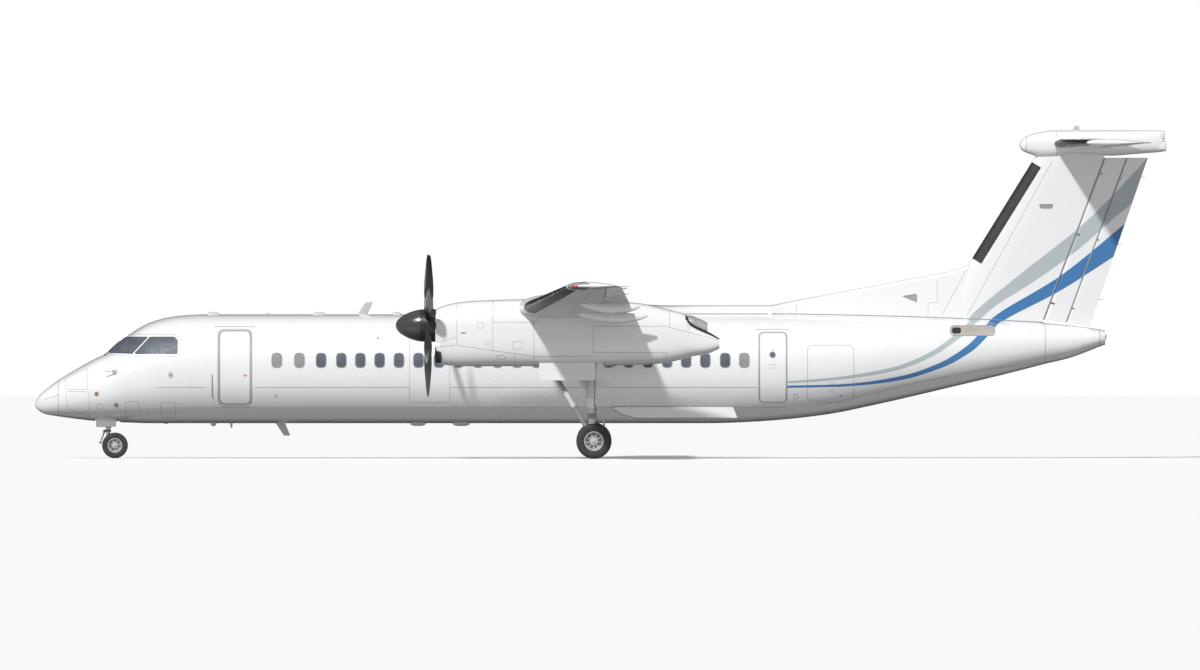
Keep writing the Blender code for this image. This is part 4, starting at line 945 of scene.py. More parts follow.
# Wing section: chord share, upper and lower height as shares of the thickness
AIRFOIL = (
    (0.000, 0.00, 0.00),
    (0.012, 0.20, 0.13),
    (0.050, 0.36, 0.22),
    (0.120, 0.49, 0.30),
    (0.220, 0.57, 0.36),
    (0.350, 0.61, 0.39),
    (0.500, 0.57, 0.36),
    (0.620, 0.49, 0.28),
    (0.720, 0.39, 0.20),
    (0.765, 0.335, 0.165),
    (0.850, 0.225, 0.105),
    (0.930, 0.115, 0.055),
    (1.000, 0.012, 0.012),
)
TAILFOIL = (
    (0.000, 0.00, 0.00),
    (0.015, 0.19, 0.19),
    (0.060, 0.33, 0.33),
    (0.150, 0.45, 0.45),
    (0.300, 0.50, 0.50),
    (0.450, 0.47, 0.47),
    (0.600, 0.38, 0.38),
    (0.700, 0.30, 0.30),
    (0.800, 0.21, 0.21),
    (0.900, 0.11, 0.11),
    (1.000, 0.02, 0.02),
)
# Wing plan: y, leading edge x, chord, thickness, z of the chord line
WING = (
    (0.00, -2.247, 3.158, 0.560, 4.297),
    (4.395, -2.247, 3.158, 0.560, 4.297),
    (5.10, -2.247, 3.158, 0.545, 4.330),
    (13.90, -0.945, 1.530, 0.230, 4.947),
)
WING_TIP_Y = (13.930, 14.210)
# The rounded tip starts with this leading edge x, chord, thickness and z; a least share of them is left at
# its end
TIP_LEAD, TIP_CHORD, TIP_THICK, TIP_Z = -0.941, 1.524, 0.229, 4.949
TIP_RISE, TIP_LEAST = 0.02, 0.04
REAR_SPAR = 0.72
AILERON_HINGE = 0.765
AILERON_Y = (9.80, 13.90)
FLAPS = (("inboard", 1.32, 3.70), ("outboard", 5.09, 9.77))
NACELLE_Y = 4.395
SHAFT_Z = 3.845


def rounded_foil(table):
    """A foil read by chord share with a round nose."""
    read = curve_through([(math.sqrt(c), up, low) for c, up, low in table])
    return lambda share: read(math.sqrt(max(share, 0.0)))


wing_foil = rounded_foil(AIRFOIL)
tail_foil = rounded_foil(TAILFOIL)


def shares(start, end, count):
    """Chord shares, closer together towards a leading edge."""
    if start > 0:
        return [start + (end - start) * i / count for i in range(count + 1)]
    return [end * (i / count) ** 1.8 for i in range(count + 1)]


def foil_loop(foil, lead, chord, thick, z, start, end, count=26):
    """A foil's closed outline as (x, z): over the top going aft, and back below."""
    cuts = shares(start, end, count)
    over = [(lead + c * chord, z + foil(c)[0] * thick) for c in cuts]
    under = [(lead + c * chord, z - foil(c)[1] * thick) for c in cuts]
    return over + (under[:0:-1] if start == 0 else under[::-1])


def nose_line(foil, lead, chord, thick, z, over, under, count=10):
    """The open line round a foil's leading edge, from a chord share on top to one below."""
    top = [(lead + c * chord, z + foil(c)[0] * thick) for c in shares(0, over, count)][::-1]
    return top + [(lead + c * chord, z - foil(c)[1] * thick) for c in shares(0, under, count)][1:]


def wing_values(y):
    return [between(WING, abs(y), i) for i in (1, 2, 3, 4)]


def wing_rings(spans, start, end):
    return [[(x, y, z) for x, z in foil_loop(wing_foil, *wing_values(y), start, end)] for y in spans]


def on_wing(upper):
    """Places (y, chord share) on the wing's upper or lower skin."""

    def at(y, share):
        lead, chord, thick, z = wing_values(y)
        up, low = wing_foil(share)
        return Vector((lead + share * chord, y, z + (up if upper else -low) * thick))

    def place(y, share):
        near = 0.002
        across = at(y + 0.02, share) - at(y - 0.02, share)
        along = at(y, share + near) - at(y, max(share - near, 0.0))
        out = across.cross(along).normalized()
        return at(y, share), out if (out.z > 0) == upper else -out

    return place


def shell_loop(points, lift, depth):
    """A closed loop round an open line: one side lifted off it, the other sunk below."""
    raised, sunk = [], []
    for i, point in enumerate(points):
        a, b = Vector(points[max(i - 1, 0)]), Vector(points[min(i + 1, len(points) - 1)])
        along = (b - a).normalized()
        out = Vector((-along.y, along.x))
        raised.append(tuple(Vector(point) + out * lift))
        sunk.append(tuple(Vector(point) - out * depth))
    return raised + sunk[::-1]


# Main skin from tip to tip, ahead of the rear spar, and a full section outboard of each aileron
spans = [-13.93, -13.90] + evenly(-13.4, -5.6, 0.6) + [-5.10, -4.395] + evenly(-3.6, 3.6, 0.9)
spans += [4.395, 5.10] + evenly(5.6, 13.4, 0.6) + [13.90, 13.93]
bm = bmesh.new()
add_loft(bm, wing_rings(spans, 0.0, REAR_SPAR))
wing_nodes = ["wing_centre", "wing_outer_left", "wing_outer_right"]
piece("wing_skin", bm, WING_WHITE, "airframe", wing_nodes, slot="white_paint")


def tip_plan(turn):
    """Leading edge x, chord and share of depth of the rounded tip, at an angle of its quarter turn."""
    keep = max(math.cos(turn), TIP_LEAST)
    return TIP_LEAD + 0.42 * (1 - keep), TIP_CHORD - 0.60 * (1 - keep), keep


for label, side in SIDES:
    bm = bmesh.new()
    rings = []
    for i in range(13):
        turn = math.radians(90 * i / 12)
        lead, chord, keep = tip_plan(turn)
        y = WING_TIP_Y[0] + (WING_TIP_Y[1] - WING_TIP_Y[0]) * math.sin(turn)
        z = TIP_Z + TIP_RISE * math.sin(turn)
        loop = foil_loop(wing_foil, lead, chord, TIP_THICK * keep, z, 0.0, 1.0, 20)
        rings.append([(x, side * y, z) for x, z in loop])
    add_loft(bm, rings)
    piece("wing_tip_" + label, bm, WHITE, "airframe", slot="white_paint")

# Flaps
for label, side in SIDES:
    for kind, low, high in FLAPS:
        bm = bmesh.new()
        spans = [low] + [y for y in (5.10,) if low < y < high] + evenly(max(low, 5.2), high, 0.5)[1:]
        add_loft(bm, wing_rings([side * y for y in spans], REAR_SPAR + 0.0012, 1.0))
        piece(
            "flap_%s_skin_%s" % (kind, label), bm, WING_WHITE, "airframe", ["flap_%s_%s" % (kind, label)],
            slot="white_paint",
        )

# Leading edge boots, in lengths
BOOTS = ((1.55, 3.62), (5.34, 8.10), (8.16, 10.88), (10.94, 13.62))
bm = bmesh.new()
for side in (-1, 1):
    for low, high in BOOTS:
        rings = []
        for y in evenly(low, high, 0.5):
            values = wing_values(y)
            width = 0.20 / values[1] + 0.015
            line = nose_line(wing_foil, *values, width, width * 1.3)
            rings.append([(x, side * y, z) for x, z in shell_loop(line, -0.004, -0.006)])
        add_loft(bm, rings)
piece("wing_deicer_boots", bm, RUBBER_BOOT, "airframe", slot="dark_paint")

# Lines on the wing: spar joints, spoiler panels, fuel caps, access panels
SPAR_LINES = ((1.45, 3.72, 0.712), (5.06, 13.90, 0.712), (5.30, 13.90, 0.155), (1.45, 3.72, 0.155))
bm = bmesh.new()
for side in (-1, 1):
    for upper in (True, False):
        place = on_wing(upper)
        for low, high, share in SPAR_LINES:
            add_bead(bm, [place(side * y, share) for y in evenly(low, high, 0.4)], 0.012)
        for y in (7.20, 9.78, 11.80, 13.90):
            add_bead(bm, [place(side * y, c) for c in evenly(0.155, 0.712, 0.04)], 0.010)
        for y in () if upper else (6.20, 7.85, 9.30, 10.80, 12.40):
            hatch = oval(y, 0.45, 0.13, 0.055, 13)
            add_bead(bm, [place(side * u, v) for u, v in hatch], 0.009, closed=True)
    place = on_wing(True)
    for low, high in ((5.30, 6.75), (6.82, 8.27), (8.34, 9.72)):
        spoiler = resampled([(low, 0.60), (high, 0.60), (high, 0.708), (low, 0.708)], 0.25, True)
        add_bead(bm, [place(side * u, v) for u, v in spoiler], 0.012, 0.004, closed=True)
    cap = oval(8.6, 0.34, 0.06, 0.035, 13)
    add_bead(bm, [place(side * u, v) for u, v in cap], 0.012, 0.004, closed=True)
piece("wing_panel_lines", bm, LINE, "airframe")

# Aileron hinge arms, in the slots of the ailerons, and the tabs' outlines
bm = bmesh.new()
for side in (-1, 1):
    ends = []
    for y in AILERON_Y:
        lead, chord, thick, z = wing_values(y)
        up, low = between(AIRFOIL, AILERON_HINGE, 1), between(AIRFOIL, AILERON_HINGE, 2)
        ends.append(Vector((lead + AILERON_HINGE * chord, side * y, z + (up - low) / 2 * thick)))
    axis = (ends[1] - ends[0]).normalized()
    aft = Vector((1, 0, 0))
    aft = (aft - axis * aft.dot(axis)).normalized()
    normal = axis.cross(aft)
    for share in (0.12, 0.50, 0.88):
        point = ends[0].lerp(ends[1], share)
        back = -(0.125 - 0.05 * share) - 0.03
        edge = [(back, 0.024), (0.0, 0.024), (0.016, 0.012)]
        shape = edge + [(a, -b) for a, b in edge[::-1]]
        add_loft(
            bm, [[point + axis * along + aft * a + normal * b for a, b in shape] for along in (-0.024, 0.024)]
        )
piece("aileron_hinge_arms", bm, STEEL, "airframe", bevel=0.002)

# Fairings over the flap tracks: y, start x, end x
TRACKS = ((5.60, -0.77, 1.369), (8.90, -0.636, 1.146))
TRACK_SHAPE = (
    (0.00, 0.010, 0.010), (0.08, 0.050, 0.090), (0.25, 0.090, 0.200), (0.50, 0.110, 0.260),
    (0.75, 0.090, 0.200), (0.92, 0.050, 0.100), (1.00, 0.010, 0.020),
)
track_shape = curve_through(TRACK_SHAPE)
for label, side in SIDES:
    bm = bmesh.new()
    for y, start, end in TRACKS:
        lead, chord, thick, z = wing_values(y)
        rings = []
        for i in range(33):
            share = 0.5 - 0.5 * math.cos(math.pi * i / 32)
            width, depth = track_shape(share)
            high = z - 0.28 * thick + 0.06 - 0.10 * share
            low = high - depth - 0.06
            x, middle = start + share * (end - start), (high + low) / 2
            rings.append(squared(x, side * y, middle, width, (high - low) / 2, 2.0, 24))
        add_loft(bm, rings)
    piece("flap_track_fairings_" + label, bm, WHITE, "airframe", slot="white_paint")

# Fillet where each outer wing leaves its nacelle: y, growth all round
FILLET = (
    (4.90, 0.085), (5.00, 0.075), (5.08, 0.055), (5.16, 0.034), (5.26, 0.016), (5.38, 0.004), (5.46, -0.006)
)
for label, side in SIDES:
    rings = []
    for y, grow in FILLET:
        lead, chord, thick, z = wing_values(y)
        ahead = grow * 1.4
        loop = foil_loop(wing_foil, lead - ahead, chord + ahead, thick + 2 * grow, z, 0.0, REAR_SPAR, 22)
        rings.append([(x, side * y, z) for x, z in loop])
    bm = bmesh.new()
    add_loft(bm, rings)
    piece("wing_root_fillet_" + label, bm, WHITE, "airframe", slot="white_paint")

# Tip lights: a grey cover round the tip's leading edge with the lamp bulging out of it
TIP_COVER = 0.33
for label, side, lens in (("left", -1, RED_LENS), ("right", 1, GREEN_LENS)):
    rings = []
    for i in range(11):
        y = 13.96 + 0.235 * math.sin(math.radians(90 * i / 10))
        share = (y - WING_TIP_Y[0]) / (WING_TIP_Y[1] - WING_TIP_Y[0])
        lead, chord, keep = tip_plan(math.asin(min(share, 1.0)))
        z = TIP_Z + TIP_RISE * share
        line = nose_line(wing_foil, lead, chord, TIP_THICK * keep, z, TIP_COVER, TIP_COVER, 12)
        rings.append([(x, side * y, height) for x, height in shell_loop(line, -0.004, -0.006)])
    bm = bmesh.new()
    add_loft(bm, rings)
    piece("tip_cover_" + label, bm, TIP_GLASS, "airframe")
    x, z = spot(576.2, 287.2)
    rings = []
    for i in range(9):
        turn = math.pi * i / 8
        reach = max(math.sin(turn), 0.03)
        y = side * (14.125 - 0.078 * math.cos(turn))
        rings.append([(u, y, v) for u, v in oval(x, z, 0.11 * reach, 0.055 * reach, 20)])
    bm = bmesh.new()
    add_loft(bm, rings)
    piece("tip_lamp_" + label, bm, lens, "airframe")
bm = bmesh.new()
for side in (-1, 1):
    add_wick(bm, 0.575, side * 14.02, 4.950, 0.25, 0.004)
piece("tip_wicks", bm, RUBBER_BOOT, "airframe")
TAB = ((12.15, 0.985), (12.15, 0.91), (13.80, 0.91), (13.80, 0.985))
for label, side in SIDES:
    wicks, tabs = bmesh.new(), bmesh.new()
    for y in (11.2, 13.2):
        lead, chord, thick, z = wing_values(y)
        add_wick(wicks, lead + chord - 0.01, side * y, z, 0.16, 0.002)
    piece("aileron_wicks_" + label, wicks, RUBBER_BOOT, HANDS[side] + "_aileron")
    for upper in (True, False):
        place = on_wing(upper)
        add_bead(tabs, [place(side * u, v) for u, v in resampled(TAB, 0.2)], 0.010, 0.004)
    piece("aileron_tab_lines_" + label, tabs, LINE, HANDS[side] + "_aileron")

# Fairing over the fuselage: x, top z, half width
FAIRING = (
    (-3.30, 3.98, 0.05),
    (-3.20, 4.02, 0.25),
    (-2.90, 4.22, 0.70),
    (-2.50, 4.40, 1.02),
    (-2.00, 4.52, 1.20),
    (-1.00, 4.58, 1.28),
    (0.20, 4.56, 1.28),
    (0.95, 4.50, 1.20),
    (1.45, 4.45, 1.00),
    (2.00, 4.433, 0.70),
    (2.80, 4.433, 0.46),
    (4.00, 4.433, 0.38),
    (4.92, 4.433, 0.36),
)
FAIRING_LOW = 3.60
FAIRING_SPREAD = 0.4
rows = [(x, top, FAIRING_LOW - (top - FAIRING_LOW) * FAIRING_SPREAD, half) for x, top, half in FAIRING]
fairing = Skin(rows, power=2.6)
bm = bmesh.new()
add_loft(bm, [fairing.ring(x, 64) for x in evenly(-3.30, 4.96, 0.09)])
fairing_skin = piece("wing_fairing_skin", bm, WHITE, "airframe", ["wing_fairing"], slot="white_paint")

# Nacelles

# x, top z, bottom z, half width
NACELLE = (
    (-4.753, 4.326, 2.775, 0.475),
    (-4.360, 4.462, 2.689, 0.530),
    (-3.780, 4.548, 2.668, 0.590),
    (-3.200, 4.578, 2.668, 0.630),
    (-1.922, 4.607, 2.668, 0.650),
    (0.000, 4.586, 2.668, 0.650),
    (0.262, 4.565, 2.686, 0.645),
    (1.124, 4.488, 2.715, 0.610),
    (1.606, 4.392, 2.735, 0.570),
    (2.020, 4.290, 2.790, 0.520),
    (2.454, 4.169, 2.900, 0.460),
    (2.585, 3.969, 2.940, 0.440),
    (2.852, 3.793, 2.985, 0.400),
    (3.162, 3.636, 3.050, 0.350),
    (3.430, 3.471, 3.180, 0.280),
)
INTAKE_HALF, INTAKE_Z, INTAKE_DEPTH = 0.32, (2.845, 3.215), 0.75
INTAKE_LIP_Z = (2.775, 3.236)
BAY = ((-1.80, 2.5), (0.12, 3.10))
BAY_HALF = 0.37
# Exhaust pipe: x, z of its middle, radius
PIPE = curve_through(((2.10, 3.96, 0.21), (2.60, 3.92, 0.21), (2.90, 3.83, 0.19), (3.08, 3.76, 0.165)))
PIPE_SIDES = 44
NACELLE_SIDES = 72
NACELLE_FRONT = NACELLE[0][0]
# Intake lip: x, growth outward
INTAKE_LIP = (
    (-4.60, -0.012), (-4.60, 0.012), (-4.70, 0.016), (-4.762, 0.004), (-4.778, -0.022), (-4.765, -0.048),
    (-4.70, -0.052),
)


def pipe_ring(x, y, shrink=0.0):
    z, radius = PIPE(x)
    return squared(x, y, z, radius - shrink, radius - shrink, 2.0, PIPE_SIDES)


def middle_and_half(low, high):
    return (low + high) / 2, (high - low) / 2


for label, side in SIDES:
    y = side * NACELLE_Y
    nacelle = Skin(NACELLE, y, 2.5)
    stops = [NACELLE_FRONT] + evenly(-4.735, 2.30, 0.09) + evenly(2.36, 3.43, 0.035)
    rings = [nacelle.ring(x, NACELLE_SIDES) for x in stops]
    rings[0] = nacelle.ring(NACELLE_FRONT, NACELLE_SIDES, -0.018)
    bm = bmesh.new()
    add_loft(bm, rings)
    nacelle_nodes = ["nacelle_" + label, "cowl_" + label]
    shell = piece("nacelle_skin_" + label, bm, WHITE, "airframe", nacelle_nodes, slot="white_paint")
    bay = ((BAY[0][0], y - BAY_HALF, BAY[0][1]), (BAY[1][0], y + BAY_HALF, BAY[1][1]))
    splitter = ((-4.9, y - 0.8, 3.250), (-4.625, y + 0.8, 3.345))
    middle, height = middle_and_half(*INTAKE_Z)
    throat = [
        squared(x, y, middle, INTAKE_HALF, height, 3.0, 40)
        for x in (-4.9, NACELLE_FRONT + INTAKE_DEPTH)
    ]
    # The intake's throat and the notch above it take the near-black finish: painted shade of the openings
    carve(
        shell,
        [
            helper("wheel_bay", lambda bm: add_box(bm, *bay), BAY_PAINT),
            helper("intake", lambda bm: add_loft(bm, throat), SOOT_AND_SHADE),
            helper("splitter", lambda bm: add_box(bm, *splitter), SOOT_AND_SHADE),
        ],
    )
    # Intake lip in rubber
    middle, height = middle_and_half(*INTAKE_LIP_Z)
    rings = [squared(x, y, middle, 0.435 + grow, height + grow, 2.9, 56) for x, grow in INTAKE_LIP]
    bm = bmesh.new()
    add_loft(bm, rings + rings[:1], caps=False)
    bmesh.ops.remove_doubles(bm, verts=bm.verts, dist=1e-6)
    piece("intake_lip_" + label, bm, RUBBER_BOOT, "airframe", slot="dark_paint")

    # Panel lines
    bm = bmesh.new()
    for x, low in ((457.5, 345.3), (493.3, 350.3), (669.4, 327.0)):
        place_x, low_z = spot(x, low)
        reach = nacelle.angle(place_x, low_z, 1)
        add_bead(bm, nacelle.hoop(place_x, -reach, reach, 0.06), 0.012)
    for edge in (-1, 1):
        lines = (
            ((534.2, 322.2), (534.2, 365.8)),
            ((493.3, 322.2), (534.2, 322.2), (547.5, 311.5)),
            ((457.5, 345.3), (534.0, 356.3), (593.3, 356.3), (593.3, 326.3), (665.0, 326.3), (718.5, 340.2)),
            ((593.4, 352.3), (666.0, 352.3), (666.0, 362.5)),
            ((515.0, 353.7), (515.0, 366.0)),
            ((441.8, 341.6), (456.9, 337.0)),
            ((441.5, 346.5), (455.5, 345.3)),
        )
        for line in lines:
            add_seam(bm, nacelle, spots(*line), edge, 0.10, 0.012)
        hatches = (
            (478.1, 322.8, 483.7, 328.4, 0.04),
            (485.4, 341.9, 489.6, 344.9, 0.03),
            (513.0, 341.3, 522.6, 348.9, 0.04),
            (497.2, 355.3, 505.4, 358.9, 0.05),
        )
        for x0, y0, x1, y1, radius in hatches:
            add_rim(bm, nacelle, box_outline(*spot(x0, y1), *spot(x1, y0), radius), edge, 0.05, 0.010)
    piece("nacelle_panel_lines_" + label, bm, LINE, "airframe")
    bm = bmesh.new()
    for edge in (-1, 1):
        mark = box_outline(*spot(461.5, 333.6), *spot(466.6, 332.2), 0.01)
        add_panel(bm, nacelle, mark, edge, 0.05, (0.2, 0.2), 0.006, 0.010)
    piece("nacelle_drain_marks_" + label, bm, FRAME_GREY, "airframe", outward=False)

    # Dark trim along the nozzle's edge
    bm = bmesh.new()
    run = evenly(2.448, 3.425, 0.04)
    for edge in (-1, 1):
        low, high = edge * 0.34, edge * 0.78
        quads = [[(a, low), (b, low), (b, high), (a, high)] for a, b in zip(run, run[1:])]
        add_patch(bm, quads, on_skin(nacelle), lift=0.010, depth=0.03, cells=(0.5, 0.5))
    piece("nozzle_trim_" + label, bm, RUBBER_BOOT, "airframe", outward=False)

    # Exhaust pipe with a thin lip and a sooty bore
    bm = bmesh.new()
    rings = [pipe_ring(x, y) for x in evenly(2.10, 3.08, 0.05)]
    rings += [pipe_ring(x, y, shrink) for x, shrink in ((3.086, 0.004), (3.080, 0.010))]
    inner = rings[-1:] + [pipe_ring(x, y, 0.018) for x in evenly(3.04, 2.52, 0.08)]
    add_loft(bm, rings, caps=False)
    add_loft(bm, inner, caps=False, index=1)
    bmesh.ops.remove_doubles(bm, verts=bm.verts, dist=1e-5)
    for ring, index in ((rings[0], 0), (inner[-1], 1)):
        found = [min(bm.verts, key=lambda v, p=p: (v.co - Vector(p)).length_squared) for p in ring]
        bm.faces.new(found).material_index = index
    piece(
        "exhaust_pipe_" + label, bm, [EXHAUST, SOOT_AND_SHADE], "airframe", ["exhaust_" + label], slot="exhaust_steel"
    )

# Propellers

PROP_X = -4.98
# Blade: reach from the shaft, chord, thickness, twist in degrees
BLADE_ROWS = (
    (0.40, 0.14, 0.130, 60),
    (0.58, 0.16, 0.110, 58),
    (0.90, 0.29, 0.065, 47),
    (1.30, 0.36, 0.040, 34),
    (1.75, 0.33, 0.024, 22),
    (1.98, 0.22, 0.015, 18),
    (2.055, 0.11, 0.008, 17),
)
blade_shape = curve_through(BLADE_ROWS)
BLADE_SECTION = oval(0, 0, 1, 1, 28)


def blade_point(y, spin, reach, along, off, twist):
    """A point of a blade: along its chord and off it, at a reach from the shaft."""
    t = math.radians(twist)
    axial = along * math.sin(t) + off * math.cos(t)
    across = along * math.cos(t) - off * math.sin(t)
    s, c = math.sin(spin), math.cos(spin)
    return (PROP_X + axial, y + reach * s + across * c, SHAFT_Z + reach * c - across * s)


def blade_rings(y, spin, rows, grow=0.0):
    rings = []
    for reach in rows:
        chord, thick, twist = blade_shape(reach)
        ring = []
        for c, s in BLADE_SECTION:
            # Blunt towards the leading edge, thin towards the trailing edge
            along = chord / 2 * c
            off = thick / 2 * math.copysign(abs(s) ** 0.9, s) * (1 - 0.45 * max(c, 0) ** 2)
            along, off = along * (1 + grow / chord), off * (1 + 2 * grow / thick)
            ring.append(blade_point(y, spin, reach, along, off, twist))
        rings.append(ring)
    return rings


# Spinner, as radius and x
SPINNER_PROFILE = (
    (0.0, -5.915), (0.045, -5.909), (0.11, -5.885), (0.165, -5.845), (0.22, -5.79), (0.275, -5.713),
    (0.33, -5.62), (0.38, -5.51), (0.42, -5.40), (0.445, -5.30), (0.462, -5.205),
)
# Hub behind it, as radius and x
HUB_PROFILE = (
    (0.0, -5.2046), (0.458, -5.2046), (0.463, -5.200), (0.470, -5.06), (0.474, -4.94), (0.474, -4.80),
    (0.471, -4.772), (0.464, -4.766), (0.40, -4.766), (0.40, -4.80), (0.10, -4.80), (0.10, -4.435),
    (0.0, -4.435),
)
for label, side in SIDES:
    y, body = side * NACELLE_Y, HANDS[side] + "_propeller"
    centre = (0, y, SHAFT_Z)
    dome = [(max(r, 0.0), x) for r, x in smooth_line(SPINNER_PROFILE, 4)]
    bm = bmesh.new()
    add_turned(bm, dome + [(0.458, -5.2048), (0.0, -5.2048)], centre, "X", 72)
    piece("spinner_dome_" + label, bm, SPINNER, body, ["spinner_" + label], slot="dark_paint")
    bm = bmesh.new()
    add_turned(bm, HUB_PROFILE, centre, "X", 72)
    piece("propeller_hub_" + label, bm, SPINNER_BAND, body, slot="dark_paint")
    blades, edges, cuffs = bmesh.new(), bmesh.new(), bmesh.new()
    for i in range(6):
        spin = i * math.pi / 3
        rows = evenly(0.40, 0.9, 0.06) + evenly(0.97, 1.93, 0.08) + [1.97, 2.005, 2.03, 2.045, 2.053]
        rings = blade_rings(y, spin, rows)
        tip = blade_shape(2.055)
        middle = blade_point(y, spin, 2.0555, 0, 0, tip[2])
        rings.append([tuple(m + (p - m) * 0.35 for p, m in zip(point, middle)) for point in rings[-1]])
        add_loft(blades, rings)
        # Nickel guard over the outer part of the leading edge
        guard = []
        for reach in evenly(1.05, 2.04, 0.06):
            chord, thick, twist = blade_shape(reach)
            line = []
            for a in evenly(math.radians(140), math.radians(220), math.radians(10)):
                c, s = math.cos(a), math.sin(a)
                line.append((chord / 2 * c, thick / 2 * math.copysign(abs(s) ** 0.9, s)))
            shell = [(a - 0.0035, o * 1.03) for a, o in line] + [(a + 0.012, o * 0.8) for a, o in line[::-1]]
            guard.append([blade_point(y, spin, reach, a, o, twist) for a, o in shell])
        add_loft(edges, guard)
        # Root collar where the blade leaves the hub
        cuff = []
        for reach, grow in ((0.440, 0.030), (0.500, 0.026), (0.545, 0.012), (0.565, 0.002)):
            cuff += blade_rings(y, spin, [reach], grow)
        add_loft(cuffs, cuff)
    piece(
        "propeller_blades_" + label, blades, BLADE, body, ["propeller_" + label], angle=50, slot="blade_paint"
    )
    piece("blade_edge_guards_" + label, edges, BLADE_EDGE, body, angle=50)
    piece("blade_root_collars_" + label, cuffs, SPINNER_BAND, body, angle=50)

# Tail

# Fin: z, leading edge x, thickness
FIN = (
    (3.600, 9.540, 0.520),
    (4.073, 9.848, 0.500),
    (5.590, 10.653, 0.460),
    (8.594, 12.515, 0.400),
    (9.000, 12.760, 0.390),
)
FIN_WIDTH = ((0.00, 0.0), (0.02, 0.36), (0.07, 0.62), (0.18, 0.87), (0.36, 1.0))
RUDDER_HINGE = ((12.954, 3.986), (14.727, 8.773))
RUDDER_SPLIT = ((13.563, 3.908), (15.320, 8.721))
RUDDER_EDGE = ((14.170, 3.804), (15.879, 8.721))
RUDDER_HALF = ((0.125, 0.095), (0.070, 0.055), (0.010, 0.010))
RUDDER_SPAN = (3.9, 8.715)
RAKE = math.sin(math.atan2(8.773 - 3.986, 14.727 - 12.954))


def on_line(line, z):
    (x0, z0), (x1, z1) = line
    return x0 + (x1 - x0) * (z - z0) / (z1 - z0)


def rudder_half(row, z):
    low, high = RUDDER_HALF[row]
    return low + (high - low) * (z - RUDDER_SPAN[0]) / (RUDDER_SPAN[1] - RUDDER_SPAN[0])


fin_width = curve_through([(math.sqrt(c), w) for c, w in FIN_WIDTH])


def fin_values(z):
    lead = between(FIN, z, 1)
    rear = on_line(RUDDER_HINGE, z) - rudder_half(0, z) / RAKE - 0.010
    return lead, rear, between(FIN, z, 2) / 2


def fin_half(x, z):
    """Half width of the fin at a point of the side view."""
    lead, rear, half = fin_values(z)
    share = min(max((x - lead) / (rear - lead), 0.0), 1.0)
    if share <= 0.36:
        return half * fin_width(math.sqrt(share))[0]
    return half + (rudder_half(0, z) - half) * ((share - 0.36) / 0.64) ** 1.4


def on_fin(side):
    """Places (x, z) of the side view on one side of the fin."""

    def place(x, z):
        near = 0.004
        slope_x = (fin_half(x + near, z) - fin_half(x - near, z)) / (2 * near)
        slope_z = (fin_half(x, z + near) - fin_half(x, z - near)) / (2 * near)
        out = Vector((-slope_x, side, -slope_z)).normalized()
        return Vector((x, side * fin_half(x, z), z)), out

    return place


def add_arm(bm, line, z, back, half, front):
    """A hinge arm with a round end, at one height of a hinge line.

    It is twice half thick and twice front tall, and starts as far ahead of the line as back says.
    """
    axis = Vector((line[1][0] - line[0][0], 0, line[1][1] - line[0][1])).normalized()
    aft = Vector((axis.z, 0, -axis.x))
    point = Vector((on_line(line, z), 0, z))
    nose = [(half * math.sin(a), half * math.cos(a)) for a in evenly(0, math.pi, 0.3)]
    shape = [(-back, half)] + nose + [(-back, -half)]
    add_loft(
        bm,
        [[point + axis * along + aft * a + Vector((0, b, 0)) for a, b in shape] for along in (-front, front)]
    )


bm = bmesh.new()
rings = []
for z in evenly(3.60, 4.073, 0.12) + evenly(4.20, 5.590, 0.20) + evenly(5.75, 8.594, 0.25) + [8.75, 9.000]:
    lead, rear, half = fin_values(z)
    cuts = [lead + (rear - lead) * (i / 30) ** 1.7 for i in range(31)]
    port = [(x, -fin_half(x, z), z) for x in cuts]
    starboard = [(x, fin_half(x, z), z) for x in cuts[:0:-1]]
    rings.append(port + starboard)
add_loft(bm, rings)
HINGE_HEIGHTS = (4.48, 6.47, 8.25)
for z in HINGE_HEIGHTS:
    add_arm(bm, RUDDER_HINGE, z, 0.19, 0.030, 0.0298)
piece("fin_skin", bm, WHITE, "airframe", ["fin"], slot="white_paint")

# Rudder in two parts: node, body, front line, rear line, rows of RUDDER_HALF at both, how far it ends ahead
# of the rear line, and how far the arms' slots reach ahead of and behind the front line
SPLIT_CLEAR = 0.010
SPLIT_DROP = 0.15
SLOT_HALF = 0.031
RUDDERS = (
    ("rudder_fore", "forward_rudder", RUDDER_HINGE, RUDDER_SPLIT, 0, 1, SPLIT_CLEAR, (0.16, 0.037)),
    ("rudder_trailing", "trailing_rudder", RUDDER_SPLIT, RUDDER_EDGE, 1, 2, 0.0, (0.10, 0.027)),
)


def rudder_ends(part, z):
    """Front x, nose radius, rear x and half thickness there, of one rudder part."""
    node, body, front, back, near, far, clear, slot = part
    rear = on_line(back, z) - (rudder_half(1, z) / RAKE + clear if clear else 0.0)
    return on_line(front, z), rudder_half(near, z), rear, rudder_half(far, z)


def on_rudder(part, side):
    """Places (distance aft of the hinge line, z) on one side of a rudder part."""

    def half(x, z):
        front, radius, rear, end = rudder_ends(part, z)
        if x < front:
            return math.sqrt(max(radius ** 2 - ((front - x) * RAKE) ** 2, 0.0))
        return radius + (end - radius) * (x - front) / (rear - front)

    def place(behind, z):
        near = 0.002
        x = behind + on_line(part[2], z)
        slope = (half(x + near, z) - half(x - near, z)) / (2 * near)
        return Vector((x, side * half(x, z), z)), Vector((-slope, side, 0)).normalized()

    return place


